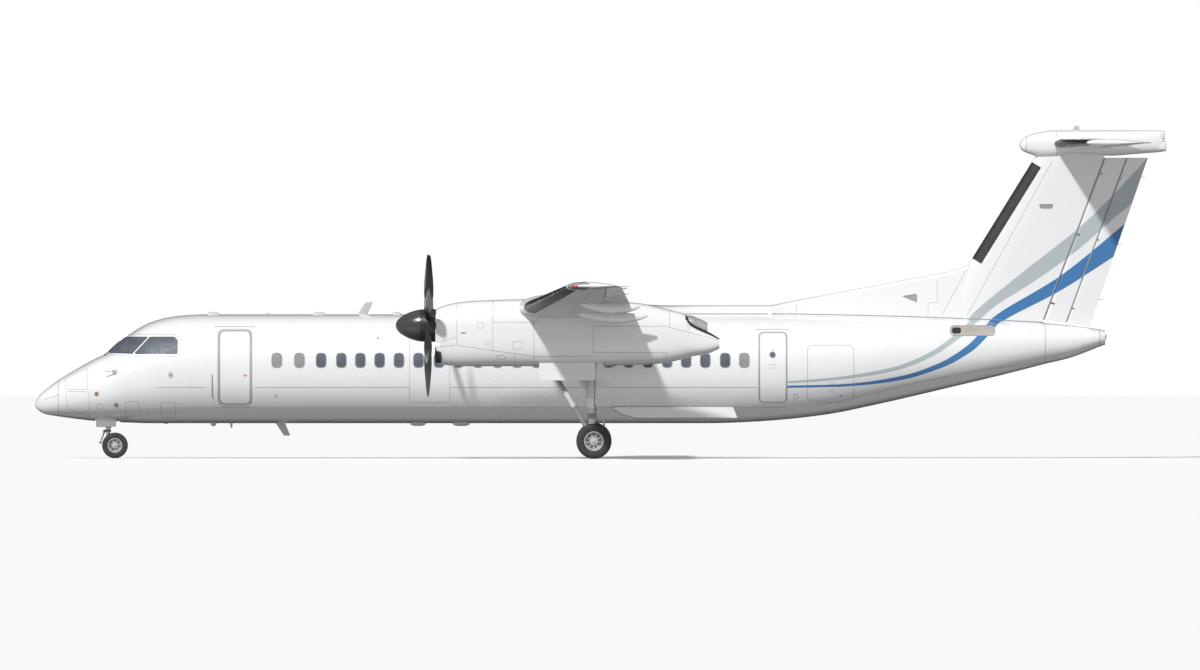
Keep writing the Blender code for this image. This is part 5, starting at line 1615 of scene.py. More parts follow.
def arm_slots(part, mat):
    """Cutters for the slots in a rudder part's nose that its hinge arms stand in."""
    node, body, front, back, near, far, clear, slot = part
    cutters = []
    axis = Vector((front[1][0] - front[0][0], 0, front[1][1] - front[0][1])).normalized()
    aft = Vector((axis.z, 0, -axis.x))
    for z in HINGE_HEIGHTS:
        z -= SPLIT_DROP if node == "rudder_trailing" else 0.0
        point = Vector((on_line(front, z), 0, z))
        shape = ((-slot[0], -0.3), (slot[1], -0.3), (slot[1], 0.3), (-slot[0], 0.3))
        rings = []
        for along in (-SLOT_HALF, SLOT_HALF):
            rings.append([point + axis * along + aft * a + Vector((0, b, 0)) for a, b in shape])
        cutters.append(helper("slot", lambda bm: add_loft(bm, rings), mat))
    return cutters


for part in RUDDERS:
    node, body, front, back, near, far, clear, slot = part
    bottom = front[0][1] + 0.015
    rings = []
    for level in [0.0] + evenly(0.02, 1.0, 0.06):
        z = bottom + level * (RUDDER_SPAN[1] - bottom)
        lead, radius, rear, end = rudder_ends(part, z)
        ring = [
            (lead + radius / RAKE * math.cos(a), radius * math.sin(a))
            for a in evenly(math.pi / 2, math.pi * 1.5, 0.2)
        ]
        flank = [(lead + (rear - lead) * t, -(radius + (end - radius) * t)) for t in (0.25, 0.5, 0.75)]
        soft = min(end, 0.03)
        port = flank + [(rear - soft * 0.3, -end), (rear, -end * 0.7)]
        ring += port + [(x, -y) for x, y in port[::-1]]
        drop = (back[0][1] - front[0][1]) / (back[0][0] - front[0][0]) * (1 - level) ** 8
        lean = (front[1][0] - front[0][0]) / (front[1][1] - front[0][1])
        rings.append([(x + lean * drop * (x - lead), y, z + drop * (x - lead)) for x, y in ring])
    bm = bmesh.new()
    add_loft(bm, rings)
    skin = piece(node + "_skin", bm, WHITE, body, [node], slot="white_paint")
    carve(skin, arm_slots(part, LINE))

bm = bmesh.new()
for z in HINGE_HEIGHTS:
    add_arm(bm, RUDDER_SPLIT, z - SPLIT_DROP, 0.13, 0.020, 0.0298)
piece("rudder_split_arms", bm, WHITE, "forward_rudder", slot="white_paint")
# Seals on the fin and on the forward part close the gaps ahead of the rounded noses
for name, body, line, row, foot in (
    ("rudder_gap_seal", "airframe", RUDDER_HINGE, 0, 4.03),
    ("rudder_split_seal", "forward_rudder", RUDDER_SPLIT, 1, 3.97),
):
    bm = bmesh.new()
    for side in (-1, 1):
        rings = []
        for z in (foot, RUDDER_SPAN[1] - 0.01):
            half = rudder_half(row, z)
            edge = on_line(line, z) - half / RAKE - SPLIT_CLEAR
            corners = (
                (-0.02, 0.006), (0.026, 0.006), (0.030, 0.003), (0.030, 0.001), (0.026, 0.0004),
                (-0.02, 0.0004)
            )
            rings.append([(edge + a, side * (half - b), z) for a, b in corners])
        add_loft(bm, rings)
    piece(name, bm, LINE, body, slot="dark_paint")

# Fairing where fin and tailplane meet: x, top z, bottom z, half width
BULLET = (
    (12.150, 9.096, 9.079, 0.010),
    (12.154, 9.132, 9.043, 0.055),
    (12.165, 9.165, 9.010, 0.092),
    (12.222, 9.237, 8.930, 0.168),
    (12.356, 9.333, 8.859, 0.225),
    (12.572, 9.417, 8.780, 0.275),
    (12.825, 9.464, 8.728, 0.310),
    (13.065, 9.500, 8.714, 0.335),
    (13.400, 9.506, 8.750, 0.350),
    (13.740, 9.506, 8.800, 0.350),
    (14.300, 9.506, 8.800, 0.342),
    (14.800, 9.506, 8.772, 0.328),
    (15.500, 9.506, 8.822, 0.290),
    (16.250, 9.500, 8.880, 0.200),
    (16.363, 9.480, 8.890, 0.170),
)
bullet = Skin(BULLET, power=2.3)
bm = bmesh.new()
stops = [12.150, 12.154, 12.158, 12.165, 12.178, 12.195]
stops += evenly(12.22, 13.2, 0.07) + evenly(13.30, 16.20, 0.14) + [16.26, 16.30]
add_loft(bm, [bullet.ring(x, 56) for x in stops])
for low_z, high_z, end in ((8.900, 9.196, 16.405), (9.222, 9.498, 16.363)):
    rings = []
    for x, shrink in ((16.20, 0.0), (end - 0.035, 0.0), (end - 0.010, 0.012), (end, 0.030)):
        half = between(BULLET, min(x, 16.30), 3) - shrink
        rings.append(squared(x, 0, (low_z + high_z) / 2, half, (high_z - low_z) / 2 - shrink, 3.2, 40))
    add_loft(bm, rings)
piece("fin_bullet_skin", bm, WHITE, "airframe", ["fin_bullet"], slot="white_paint")

# Tailplane
STABILISER = ((0.000, 13.129, 15.803, 0.350), (0.360, 13.129, 15.803, 0.350), (4.525, 14.036, 15.760, 0.195))
STABILISER_Z = 9.125
ELEVATOR_HINGE_X = 14.95
ELEVATOR_ARMS = (0.85, 2.50, 4.10)


def stabiliser_values(y):
    return [between(STABILISER, abs(y), i) for i in (1, 2, 3)]


def hinge_front(y):
    """x ahead of the elevator's hinge line by the tailplane's half thickness there."""
    return ELEVATOR_HINGE_X - hinge_half(y)


def hinge_half(y):
    """Half thickness of the tailplane at the elevator's hinge."""
    lead, rear, thick = stabiliser_values(y)
    return thick * tail_foil((ELEVATOR_HINGE_X - lead) / (rear - lead))[0]


bm = bmesh.new()
rings = []
for y in [-4.525, -4.10] + evenly(-3.7, -0.36, 0.5) + evenly(0.36, 3.7, 0.5) + [4.10, 4.525]:
    lead, rear, thick = stabiliser_values(y)
    end = (hinge_front(y) - 0.016 - lead) / (rear - lead)
    loop = foil_loop(tail_foil, lead, rear - lead, thick, STABILISER_Z, 0.0, end, 24)
    rings.append([(x, y, z) for x, z in loop])
add_loft(bm, rings)
for side in (-1, 1):
    rings = []
    for i in range(10):
        turn = math.radians(90 * i / 9)
        keep = max(math.cos(turn), 0.05)
        y = 4.512 + 0.122 * math.sin(turn)
        lead = 14.033 + 0.30 * (1 - keep)
        rear = 15.760 - 0.16 * (1 - keep)
        loop = foil_loop(tail_foil, lead, rear - lead, 0.195 * keep, STABILISER_Z, 0.0, 1.0, 22)
        rings.append([(x, side * y, z) for x, z in loop])
    add_loft(bm, rings)
    for y in ELEVATOR_ARMS:
        edge = [
            (hinge_front(y) - 0.05, -0.045), (ELEVATOR_HINGE_X, -0.024), (ELEVATOR_HINGE_X + 0.018, -0.012)
        ]
        shape = edge + [(x, -h) for x, h in edge[::-1]]
        add_prism(bm, [(x, STABILISER_Z + h) for x, h in shape], 1, side * y - 0.024, side * y + 0.024)
piece("stabilizer_skin", bm, WHITE, "airframe", ["stabilizer"], slot="white_paint")

# Dorsal fin: x, top z, half width at the crest, half width at the foot
DORSAL = (
    (4.925, 4.430, 0.330, 0.360),
    (5.489, 4.543, 0.230, 0.340),
    (6.648, 4.760, 0.150, 0.310),
    (7.807, 4.977, 0.130, 0.290),
    (8.966, 5.195, 0.120, 0.270),
    (10.125, 5.412, 0.110, 0.255),
    (10.652, 5.588, 0.105, 0.250),
)
dorsal_shape = curve_through(DORSAL)

# The crest is a rounded edge this deep; the flanks run straight down to the foot's waist
CREST = 0.12
WAIST_Z, WAIST_SHARE = 4.08, 0.93


def dorsal_ring(x):
    top, crest, foot = dorsal_shape(x)
    waist, shoulder = foot * WAIST_SHARE, top - CREST
    half = [(foot, 3.55), (foot, 3.86), (0.985 * foot, 3.98), (waist, WAIST_Z)]
    half += [(waist + (crest - waist) * t, WAIST_Z + (shoulder - WAIST_Z) * t) for t in (0.25, 0.5, 0.75)]
    arc = evenly(0, math.pi / 2 - 0.02, 0.26)
    half += [(crest * math.cos(a) ** 0.8, shoulder + CREST * math.sin(a)) for a in arc]
    return [(x, -y, z) for y, z in half] + [(x, y, z) for y, z in half[::-1]]


bm = bmesh.new()
add_loft(bm, [dorsal_ring(x) for x in evenly(4.925, 5.489, 0.08) + evenly(5.6, 10.652, 0.30)])
piece("dorsal_fin_skin", bm, WHITE, "airframe", ["dorsal_fin"], slot="white_paint")

# Landing gear

MAIN_WHEEL = (-0.191, 0.51)
MAIN_LEG_X = -0.262
NOSE_WHEEL = (-14.084, 0.371)
NOSE_LEG_X = -14.276


def tyre_profile(radius, width, rim, grooves):
    """(radius, across) of a tyre's cross section from the inner bead on, with rib grooves in the tread."""
    half = width / 2
    side = [
        (rim, half * 0.66), (rim + 0.012, half * 0.80), (rim + (radius - rim) * 0.22, half * 0.93),
        (rim + (radius - rim) * 0.45, half), (rim + (radius - rim) * 0.66, half * 0.985),
        (rim + (radius - rim) * 0.83, half * 0.90), (radius - 0.016, half * 0.74),
        (radius - 0.005, half * 0.56),
    ]
    tread = []
    flat = half * 0.56
    for k in range(grooves):
        at = -flat + 2 * flat * (k + 0.5) / grooves
        crown = radius - 0.004 * (at / flat) ** 2
        tread += [
            (crown, at - 0.0065), (crown - 0.008, at - 0.004), (crown - 0.008, at + 0.004),
            (crown, at + 0.0065)
        ]
        if k < grooves - 1:
            tread.append((radius, at + flat / grooves))
    inner = [(rim, -half * 0.4), (rim, half * 0.4)]
    return [(r, -a) for r, a in side] + tread + [(r, a) for r, a in side[::-1]] + inner[::-1]


def rim_profile(rim, width, barrel):
    """(radius, across) of a wheel half: a bright flange, a dished web and a barrel towards the axle."""
    half = width / 2
    flank = [
        (rim * 0.93, half * 0.64), (rim + 0.001, half * 0.66), (rim + 0.010, half * 0.74),
        (rim + 0.008, half * 0.80), (rim * 0.95, half * 0.80), (rim * 0.90, half * 0.62),
        (rim * 0.84, half * 0.30), (rim * 0.60, half * 0.16), (rim * 0.46, half * 0.30),
        (rim * 0.40, half * 0.52), (barrel, half * 0.52),
    ]
    return [(r, -a) for r, a in flank] + flank[::-1]


# Wheel fittings as (share of the rim's radius, metres across), and the web and cap as shares of both
# The hole is a thin near-black disc: painted shade where a lightening hole would be seen into
HOLE_SHADE_DISC = ((0.0, -0.012), (0.095, -0.012), (0.105, 0.004), (0.075, 0.006), (0.0, 0.004))
HUB_BOLT = ((0.0, -0.02), (0.040, -0.02), (0.040, 0.012), (0.022, 0.018), (0.0, 0.018))
RIM_BOLT = ((0.0, -0.03), (0.030, -0.03), (0.030, 0.008), (0.0, 0.010))
WEB = ((0.85, 0.34), (0.84, 0.30), (0.60, 0.16), (0.46, 0.30), (0.45, 0.33))
CAP = ((0.0, 0.50), (0.18, 0.55), (0.20, 0.70), (0.15, 0.84), (0.0, 0.90))
PAINT_LIFT = 0.002


def add_wheel_details(bright, dark, web, centre, rim, width, side, holes):
    """Hub cap, bolts, ribs and near-black discs of painted shade for the lightening holes of one wheel, on
    its outer face for side -1 or 1.
    """
    x, y, z = centre
    reach = side * width / 2

    def at(turn, out, across):
        """A point at shares of the rim's radius and of the half width."""
        return Vector((x + rim * out * math.sin(turn), y + reach * across, z + rim * out * math.cos(turn)))

    def fitting(bm, profile, place, sides):
        add_turned(bm, [(rim * r, h) for r, h in profile], place, "Y", sides)

    outer = [(rim * r, reach * a + side * PAINT_LIFT) for r, a in WEB]
    add_turned(web, outer + [(r, a - side * 2 * PAINT_LIFT) for r, a in outer[::-1]], centre, "Y", 72)
    add_turned(bright, [(rim * r, reach * a) for r, a in CAP], centre, "Y", 32)
    for turn in turns(holes):
        fitting(dark, HOLE_SHADE_DISC, at(turn, 0.70, 0.23), 16)
        turn += math.pi / holes
        fitting(bright, HUB_BOLT, at(turn, 0.44, 0.40), 6)
        start, end = at(turn, 0.47, 0.28), at(turn, 0.85, 0.30)
        add_tube(bright, [start, start.lerp(end, 0.4) - Vector((0, reach * 0.06, 0)), end], rim * 0.045, 10)
        fitting(bright, RIM_BOLT, at(turn, 0.87, 0.50), 6)


# Tyre radius, tyre width, rim radius, barrel radius, holes, grooves in the tread
WHEEL_SIZES = {"main": (0.51, 0.28, 0.272, 0.0455, 9, 4), "nose": (0.371, 0.20, 0.203, 0.0355, 7, 3)}
# Kind, end of the names, body, centre, half spacing, rim nodes, tyre nodes
WHEELS = [
    (
        "main", "_" + label, HANDS[side] + "_main_wheels", (MAIN_WHEEL[0], side * NACELLE_Y, MAIN_WHEEL[1]),
        0.27, ["main_rims_" + label], ["main_tyre_inner_" + label, "main_tyre_outer_" + label],
    )
    for label, side in SIDES
]
WHEELS.append((
    "nose", "", "nose_wheels", (NOSE_WHEEL[0], 0.0, NOSE_WHEEL[1]), 0.17,
    ["nose_rims"], ["nose_tyre_left", "nose_tyre_right"],
))
for kind, tail, body, centre, spacing, rims, tyres in WHEELS:
    radius, width, rim, barrel, holes, grooves = WHEEL_SIZES[kind]
    rubber, bright, dark, web = bmesh.new(), bmesh.new(), bmesh.new(), bmesh.new()
    for side in (-1, 1):
        place = (centre[0], centre[1] + side * spacing, centre[2])
        add_turned(rubber, tyre_profile(radius, width, rim, grooves), place, "Y", 96)
        add_turned(bright, rim_profile(rim, width, barrel), place, "Y", 72)
        add_wheel_details(bright, dark, web, place, rim, width, side, holes)
    piece("%s_tyres%s" % (kind, tail), rubber, TYRE, body, tyres, slot="tyre_rubber")
    piece("%s_wheel_rims%s" % (kind, tail), bright, WHEEL, body, rims, slot="wheel_paint")
    piece("%s_wheel_hole_shade%s" % (kind, tail), dark, WHEEL_HOLE_SHADE, body)
    piece("%s_wheel_webs%s" % (kind, tail), web, WHEEL_WEB, body, slot="wheel_paint")

# Packed nodes that keep their own shape get a finish with more to it
ENGINE_CASE = finish(
    "engine_case", (0.36, 0.37, 0.37), 0.42, metallic=0.7, mottle=0.2, mottle_scale=5,
    dirt=(0.12, 0.09, 0.07), dirt_share=0.4
)


def paint(mat, *nodes):
    for node in nodes:
        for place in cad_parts[node].material_slots:
            place.material = mat


paint(ENGINE_CASE, "engine_left", "engine_right")
paint(WHITE, "elevator_left", "elevator_right", "aileron_left", "aileron_right")


def on_side_of(obj, side):
    """Places (x, z) of the side view on one side of an object."""
    mesh = obj.data
    tree = BVHTree.FromPolygons([v.co for v in mesh.vertices], [p.vertices for p in mesh.polygons])

    def place(x, z):
        point, normal, _, _ = tree.ray_cast(Vector((x, side * 3, z)), Vector((0, -side, 0)))
        if point is None:
            point, normal, _, _ = tree.find_nearest(Vector((x, side * 0.1, z)))
        return point, Vector((normal.x * 0.5, side, normal.z * 0.5)).normalized()

    return place


# Lines, boots and small fittings of the tail
dorsal_skin = bpy.data.objects["dorsal_fin_skin"]
THIN, WIDE = (0.012, 0.003), (0.030, 0.006)
bm = bmesh.new()
for side in (-1, 1):
    fin_side, dorsal_side, crown_side = on_fin(side), on_side_of(dorsal_skin, side), on_side_of(
        fairing_skin, side
    )
    for place, size, line in (
        (fin_side, THIN, ((1052.5, 161.3), (967.5, 315.0))),
        (dorsal_side, THIN, ((796.5, 301.4), (796.5, 314.0))),
        (dorsal_side, THIN, ((937.5, 280.5), (937.5, 302.3), (928.3, 303.0), (928.3, 315.5))),
        (dorsal_side, THIN, ((967.2, 268.5), (942.5, 314.5))),
        (crown_side, WIDE, ((645.0, 313.9), (772.0, 313.9))),
        (dorsal_side, WIDE, ((772.0, 313.9), (790.0, 313.9), (830.0, 314.6), (910.0, 316.5), (964.0, 318.6))),
        (fin_side, WIDE, ((948.0, 318.0), (990.0, 319.6), (1030.0, 321.6), (1044.0, 322.4))),
    ):
        add_bead(bm, [place(x, z) for x, z in resampled(spots(*line), 0.12)], *size)
for px in (1026.9, 1056.9):
    add_hoop(bm, bullet, spot(px, 0)[0], 0.012, 0.003, 0.12)
piece("tail_panel_lines", bm, LINE, "airframe")

bm = bmesh.new()
BOOT_DEPTH = 0.306
BOOT_LEAN = math.radians(31.8)
run, drop = math.cos(BOOT_LEAN), math.sin(BOOT_LEAN)
rings = []
for z in evenly(spot(0, 258.2)[1], spot(0, 161.8)[1], 0.2):
    # Each section runs square to the leading edge: back and down from it
    lead = fin_values(z)[0]
    cuts = [BOOT_DEPTH * (i / 10) ** 1.7 for i in range(11)]
    line = [(c, fin_half(lead + c * run, z - c * drop)) for c in cuts]
    line = [(c, -half) for c, half in line[::-1]] + line[1:]
    rings.append([(lead + c * run, y, z - c * drop) for c, y in shell_loop(line, 0.004, 0.006)])
add_loft(bm, rings)
for side in (-1, 1):
    for low, high in ((0.52, 2.44), (2.48, 4.44)):
        rings = []
        for y in evenly(low, high, 0.35):
            lead, rear, thick = stabiliser_values(y)
            width = 0.13 / (rear - lead) + 0.02
            line = nose_line(tail_foil, lead, rear - lead, thick, STABILISER_Z, width, width)
            rings.append([(x, side * y, z) for x, z in shell_loop(line, -0.004, -0.006)])
        add_loft(bm, rings)
piece("tail_deicer_boots", bm, RUBBER_BOOT, "airframe", slot="dark_paint")

inlets, edges = bmesh.new(), bmesh.new()
for side in (-1, 1):
    fin_side, dorsal_side = on_fin(side), on_side_of(dorsal_skin, side)
    for place, corners in (
        (fin_side, ((1039.6, 204.3), (1053.4, 204.3), (1052.0, 207.9), (1041.0, 207.9))),
        (dorsal_side, ((902.9, 296.2), (916.9, 294.1), (916.9, 301.8))),
    ):
        outline = softened(spots(*corners), 0.03)
        add_patch(inlets, [outline], place, lift=0.003, depth=0.012, cells=(0.1, 0.1))
        add_bead(edges, [place(x, z) for x, z in resampled(outline, 0.05, True)], 0.018, 0.012, closed=True)
piece("tail_inlet_grilles", inlets, FRAME_GREY, "airframe", outward=False)
piece("tail_inlet_frames", edges, LINE, "airframe")

bm = bmesh.new()
x, z = spot(1076.5, 130.0)
add_prism(
    bm, [(x + a, z + b) for a, b in ((-0.115, -0.05), (0.125, -0.05), (0.085, 0.13), (-0.045, 0.13))], 1,
    -0.014, 0.014
)
x, z = spot(937.0, 279.2)
hook = smooth_line(
    [(x + a, 0, z + b) for a, b in ((0, -0.06), (-0.01, 0.02), (0.05, 0.06), (0.13, 0.055))], 5
)
add_tube(bm, hook, 0.010, 10)
piece("tail_antennas", bm, ANTENNA, "airframe", bevel=0.004)
bm = bmesh.new()
add_hoop(bm, hull, 14.47, 0.016, 0.004, 0.12)
piece("tail_cone_band", bm, LINE, "airframe")
bm = bmesh.new()
lamp = [(0.0, -0.05), (0.085, -0.05), (0.085, 0.0), (0.075, 0.018), (0.045, 0.036), (0.0, 0.042)]
add_turned(bm, lamp, (14.636, 0, 3.512), "X", 32)
piece("tail_lamp", bm, CLEAR_LENS, "airframe")
bm = bmesh.new()
for z in (4.6, 6.2, 8.15):
    add_wick(bm, on_line(RUDDER_EDGE, z) - 0.01, 0, z, 0.15, 0.01)
piece("rudder_wicks", bm, RUBBER_BOOT, "trailing_rudder")
for label, side in SIDES:
    bm = bmesh.new()
    for y in (2.2, 3.2, 4.2):
        add_wick(bm, stabiliser_values(y)[1] - 0.01, side * y, STABILISER_Z, 0.14, 0)
    piece("elevator_wicks_" + label, bm, RUBBER_BOOT, HANDS[side] + "_elevator")

# Stripes


def ribbon(line, steps=8):
    """Quads along a line of pixels (x, y, width): the edges lie half a width to each side."""
    smooth = smooth_line(line, steps)
    edges = []
    for i, (x, y, width) in enumerate(smooth):
        before, after = smooth[max(i - 1, 0)], smooth[min(i + 1, len(smooth) - 1)]
        along = Vector((after[0] - before[0], after[1] - before[1])).normalized()
        across = Vector((along.y, -along.x)) * width / 2
        edges.append((spot(x + across.x, y + across.y), spot(x - across.x, y - across.y)))
    return [[a[0], b[0], b[1], a[1]] for a, b in zip(edges, edges[1:])]


def strip(upper, lower, steps=8):
    """Quads between two lines of pixels with as many points each."""
    high, low = smooth_line(spots(*upper), steps), smooth_line(spots(*lower), steps)
    return [[high[i], high[i + 1], low[i + 1], low[i]] for i in range(len(high) - 1)]


# On the hull: pixels and widths; on the tail: upper and lower edges
GREY_HULL = (
    (787.3, 382.2, 2.2), (820.0, 380.0, 2.5), (849.1, 376.9, 3.0), (885.4, 370.9, 3.8), (909.7, 363.9, 4.3),
    (933.9, 352.7, 4.9), (950.9, 341.2, 5.4), (965.4, 329.5, 5.8), (975.1, 319.6, 6.1), (983.0, 311.5, 6.4),
)
BLUE_HULL = (
    (787.3, 386.7, 2.1), (830.0, 385.8, 2.2), (850.0, 384.8, 2.4), (870.0, 382.9, 2.9), (890.0, 380.0, 3.6),
    (910.0, 375.9, 4.0), (930.0, 369.4, 4.7), (950.0, 360.9, 5.9), (970.0, 348.0, 7.2), (982.0, 336.5, 7.8),
    (991.5, 325.2, 8.1), (1001.0, 315.5, 8.6),
)
GREY_TAIL = (
    (
        (967.3, 321.6), (978.9, 308.2), (1027.1, 268.9), (1077.1, 229.6), (1109.3, 199.3), (1146.8, 159.1),
        (1160.0, 145.0)
    ),
    (
        (975.4, 324.5), (995.0, 306.4), (1034.3, 281.4), (1075.4, 252.0), (1109.3, 222.5), (1131.6, 203.8),
        (1147.0, 190.5)
    ),
)
BLUE_TAIL = (
    ((986.1, 324.3), (1003.9, 310.0), (1062.9, 274.3), (1124.5, 224.3), (1141.0, 210.5)),
    ((996.8, 326.1), (1012.9, 315.4), (1061.1, 290.4), (1112.9, 257.3), (1131.0, 244.8)),
)
STRIPES = (("grey", GREY, GREY_HULL, GREY_TAIL), ("blue", BLUE, BLUE_HULL, BLUE_TAIL))

FIN_FOOT_Z = 3.93


def aft_of(line):
    """A clip for add_patch that clears what lies forward of a raked line."""
    (x0, z0), (x1, z1) = line
    return (x0, z0), tuple(Vector((z0 - z1, x1 - x0)).normalized())


def ahead_of(line):
    """The other side: clears what lies aft of the line."""
    place, normal = aft_of(line)
    return place, (-normal[0], -normal[1])


for name, mat, on_body, on_tail in STRIPES:
    bm = bmesh.new()
    fin_end = [(fin_values(z)[1] - 0.004, z) for z in (4.073, 8.594)]
    for side in (-1, 1):
        quads = []
        for quad in ribbon(on_body, 24):
            middle = sum((Vector(p) for p in quad), Vector((0, 0))) / 4
            if min(z for x, z in quad) < hull.read(middle.x)[0] - 0.003:
                quads.append([(x, hull.angle(x, z, side)) for x, z in quad])
        add_patch(bm, quads, on_hull, lift=0.0018, depth=0.006, cells=(0.30, 0.05))
        add_patch(
            bm, strip(*on_tail), on_fin(side), lift=0.0025, depth=0.007, cells=(0.05, 0.10),
            clips=(ahead_of(fin_end), ((0.0, FIN_FOOT_Z), (0.0, -1.0))),
        )
    piece("%s_stripe" % name, bm, mat, "airframe", outward=False)
    for part in RUDDERS:
        node, body, front, back, near, far, clear, slot = part
        edges = []
        for z in RUDDER_SPAN:
            lead, radius, rear, end = rudder_ends(part, z)
            edges.append(((-radius / RAKE * 0.95, z), (rear - lead - min(end, 0.03) * 0.35, z)))
        first, last = zip(*edges)
        bm = bmesh.new()
        leaning = [[(x - on_line(front, z), z) for x, z in quad] for quad in strip(*on_tail)]
        for side in (-1, 1):
            add_patch(
                bm, leaning, on_rudder(part, side), lift=0.0022, depth=0.006, cells=(0.009, 0.40),
                clips=(aft_of(first), ahead_of(last)),
            )
        obj = piece("%s_stripe_on_%s" % (name, node), bm, mat, body, outward=False)
        carve(obj, arm_slots(part, mat))

# Hull fittings

# Outlet of the cooling packs on each side, beside the fin; its mouth is a flat near-black patch, painted
# shade of the opening
slots, mouths, rims = bmesh.new(), bmesh.new(), bmesh.new()
for side in (-1, 1):
    shape = box_outline(*spot(950.4, 335.7), *spot(995.0, 325.6), 0.14)
    add_panel(slots, hull, shape, side, 0.06, (0.15, 0.05), 0.004, 0.014)
    add_rim(rims, hull, shape, side, 0.06, 0.022, 0.010)
    shape = box_outline(*spot(952.2, 333.6), *spot(961.0, 327.6), 0.07)
    add_panel(mouths, hull, shape, side, 0.04, (0.15, 0.05), 0.007, 0.016)
piece("pack_outlet_ducts", slots, DUCT_BEIGE, "airframe", outward=False)
piece("pack_outlet_mouths", mouths, SOOT_AND_SHADE, "airframe", outward=False)
piece("pack_outlet_rims", rims, LINE, "airframe")

# Fairings along the belly's sides
STRAKE = ((0.30, 1.466), (0.45, 1.500), (3.84, 1.500), (3.975, 1.168), (1.01, 1.163), (0.62, 1.27))
belly_outline = softened(STRAKE, 0.05, 4)
bm, seams = bmesh.new(), bmesh.new()
for side in (-1, 1):
    face = abs(hull.at(1.0, hull.angle(1.0, 1.50, side)).y) + 0.012
    add_prism(bm, belly_outline, 1, side * 0.5, side * face)
    edge = [
        (Vector((x, side * face, z)), Vector((0, side, 0)))
        for x, z in resampled(belly_outline, 0.3, True)
    ]
    add_bead(seams, edge, 0.022, 0.006, closed=True)
piece("belly_fairings", bm, WHITE, "airframe", bevel=0.008, slot="white_paint")
piece("belly_fairing_seams", seams, LINE, "airframe")

# Jacking pads
PAD = ((0, 0.12), (0.06, 0.12), (0.06, 0.004), (0.056, 0.0), (0.030, 0.0), (0.024, 0.008), (0, 0.008))
bm = bmesh.new()
for place in ((-12.60, 0.0, 0.995), (0.42, -NACELLE_Y, 2.668), (0.42, NACELLE_Y, 2.668)):
    add_turned(bm, PAD, place, "Z", 32)
piece("jacking_pads", bm, STEEL, "airframe", slot="gear_steel")

# Antennas on the crown and the belly: low pods, a dome, two blades, a drum, a mast and two oval pods
HULL_TOP, HULL_FLOOR = 4.172, 1.014


def x_at(px):
    return spot(px, 0)[0]


bm = bmesh.new()
for start, end in ((206.5, 219.3), (312.0, 325.0), (391.6, 401.5)):
    rings = []
    for rise, inset, half in (
        (-0.04, 0.0, 0.11), (0.012, 0.01, 0.10), (0.055, 0.05, 0.075), (0.066, 0.09, 0.045)
    ):
        ring = box_outline(x_at(start) + inset, -half, x_at(end) - inset, half, 0.05)
        rings.append([(x, y, HULL_TOP + rise) for x, y in ring])
    add_loft(bm, rings)
dome = [(0, -0.03), (0.07, -0.03), (0.065, 0.012), (0.045, 0.030), (0.0, 0.036)]
add_turned(bm, dome, (x_at(268.0), 0, HULL_TOP), "Z", 32)
ANTENNA_HALF = 0.018
for foot, head, low, high in (
    ((356.5, 366.5), (365.0, 372.7), HULL_TOP - 0.03, spot(0, 302.0)[1]),
    ((274.6, 284.4), (283.6, 290.0), HULL_FLOOR + 0.03, spot(0, 435.8)[1]),
):
    rings = []
    for t, wide, long in (
        (0.0, 1, 1), (0.25, 1, 1), (0.5, 1, 1), (0.75, 1, 1), (0.95, 1, 1), (1.0, 0.6, 0.9)
    ):
        middle, reach = middle_and_half(*(x_at(a + (b - a) * t) for a, b in zip(foot, head)))
        ring = oval(middle, 0, reach * long, ANTENNA_HALF * (1 - 0.35 * t) * wide, 24)
        rings.append([(x, y, low + (high - low) * t) for x, y in ring])
    add_loft(bm, rings)
drum = [(0, 0.04), (0.095, 0.04), (0.090, -0.01), (0.070, -0.055), (0.035, -0.082), (0.0, -0.09)]
add_turned(bm, drum, (x_at(213.0), 0, HULL_FLOOR), "Z", 32)
mast = [(x_at(231.0), 0, HULL_FLOOR + drop) for drop in (0.03, -0.05, -0.12, -0.135)]
add_tube(bm, mast, [0.05, 0.032, 0.028, 0.018], 20)
for start, end in ((409.6, 426.0), (452.0, 470.4)):
    middle, reach = middle_and_half(x_at(start), x_at(end))
    rings = []
    for drop, share in ((0.03, 1.0), (-0.015, 0.97), (-0.050, 0.84), (-0.072, 0.60), (-0.080, 0.25)):
        ring = oval(middle, 0, reach * share, 0.16 * share, 32)
        rings.append([(x, y, HULL_FLOOR + drop) for x, y in ring])
    add_loft(bm, rings)
piece("hull_antennas", bm, ANTENNA, "airframe")

# Probes, ports and marks on the sides
probes, rings_bm, brass, darks, reds = (bmesh.new() for _ in range(5))


def disc(bm, px, py, radius, side, lift=0.004):
    """A round spot on the hull."""
    outline = [(x, hull.angle(x, z, side)) for x, z in oval(*spot(px, py), radius, radius, 24)]
    add_patch(bm, [outline], on_hull, lift=lift, depth=0.012, cells=(0.3, 0.3))


def circle(bm, px, py, radius, side, width=0.012, height=0.005):
    add_rim(bm, hull, oval(*spot(px, py), radius, radius, 24), side, 0.05, width, height)


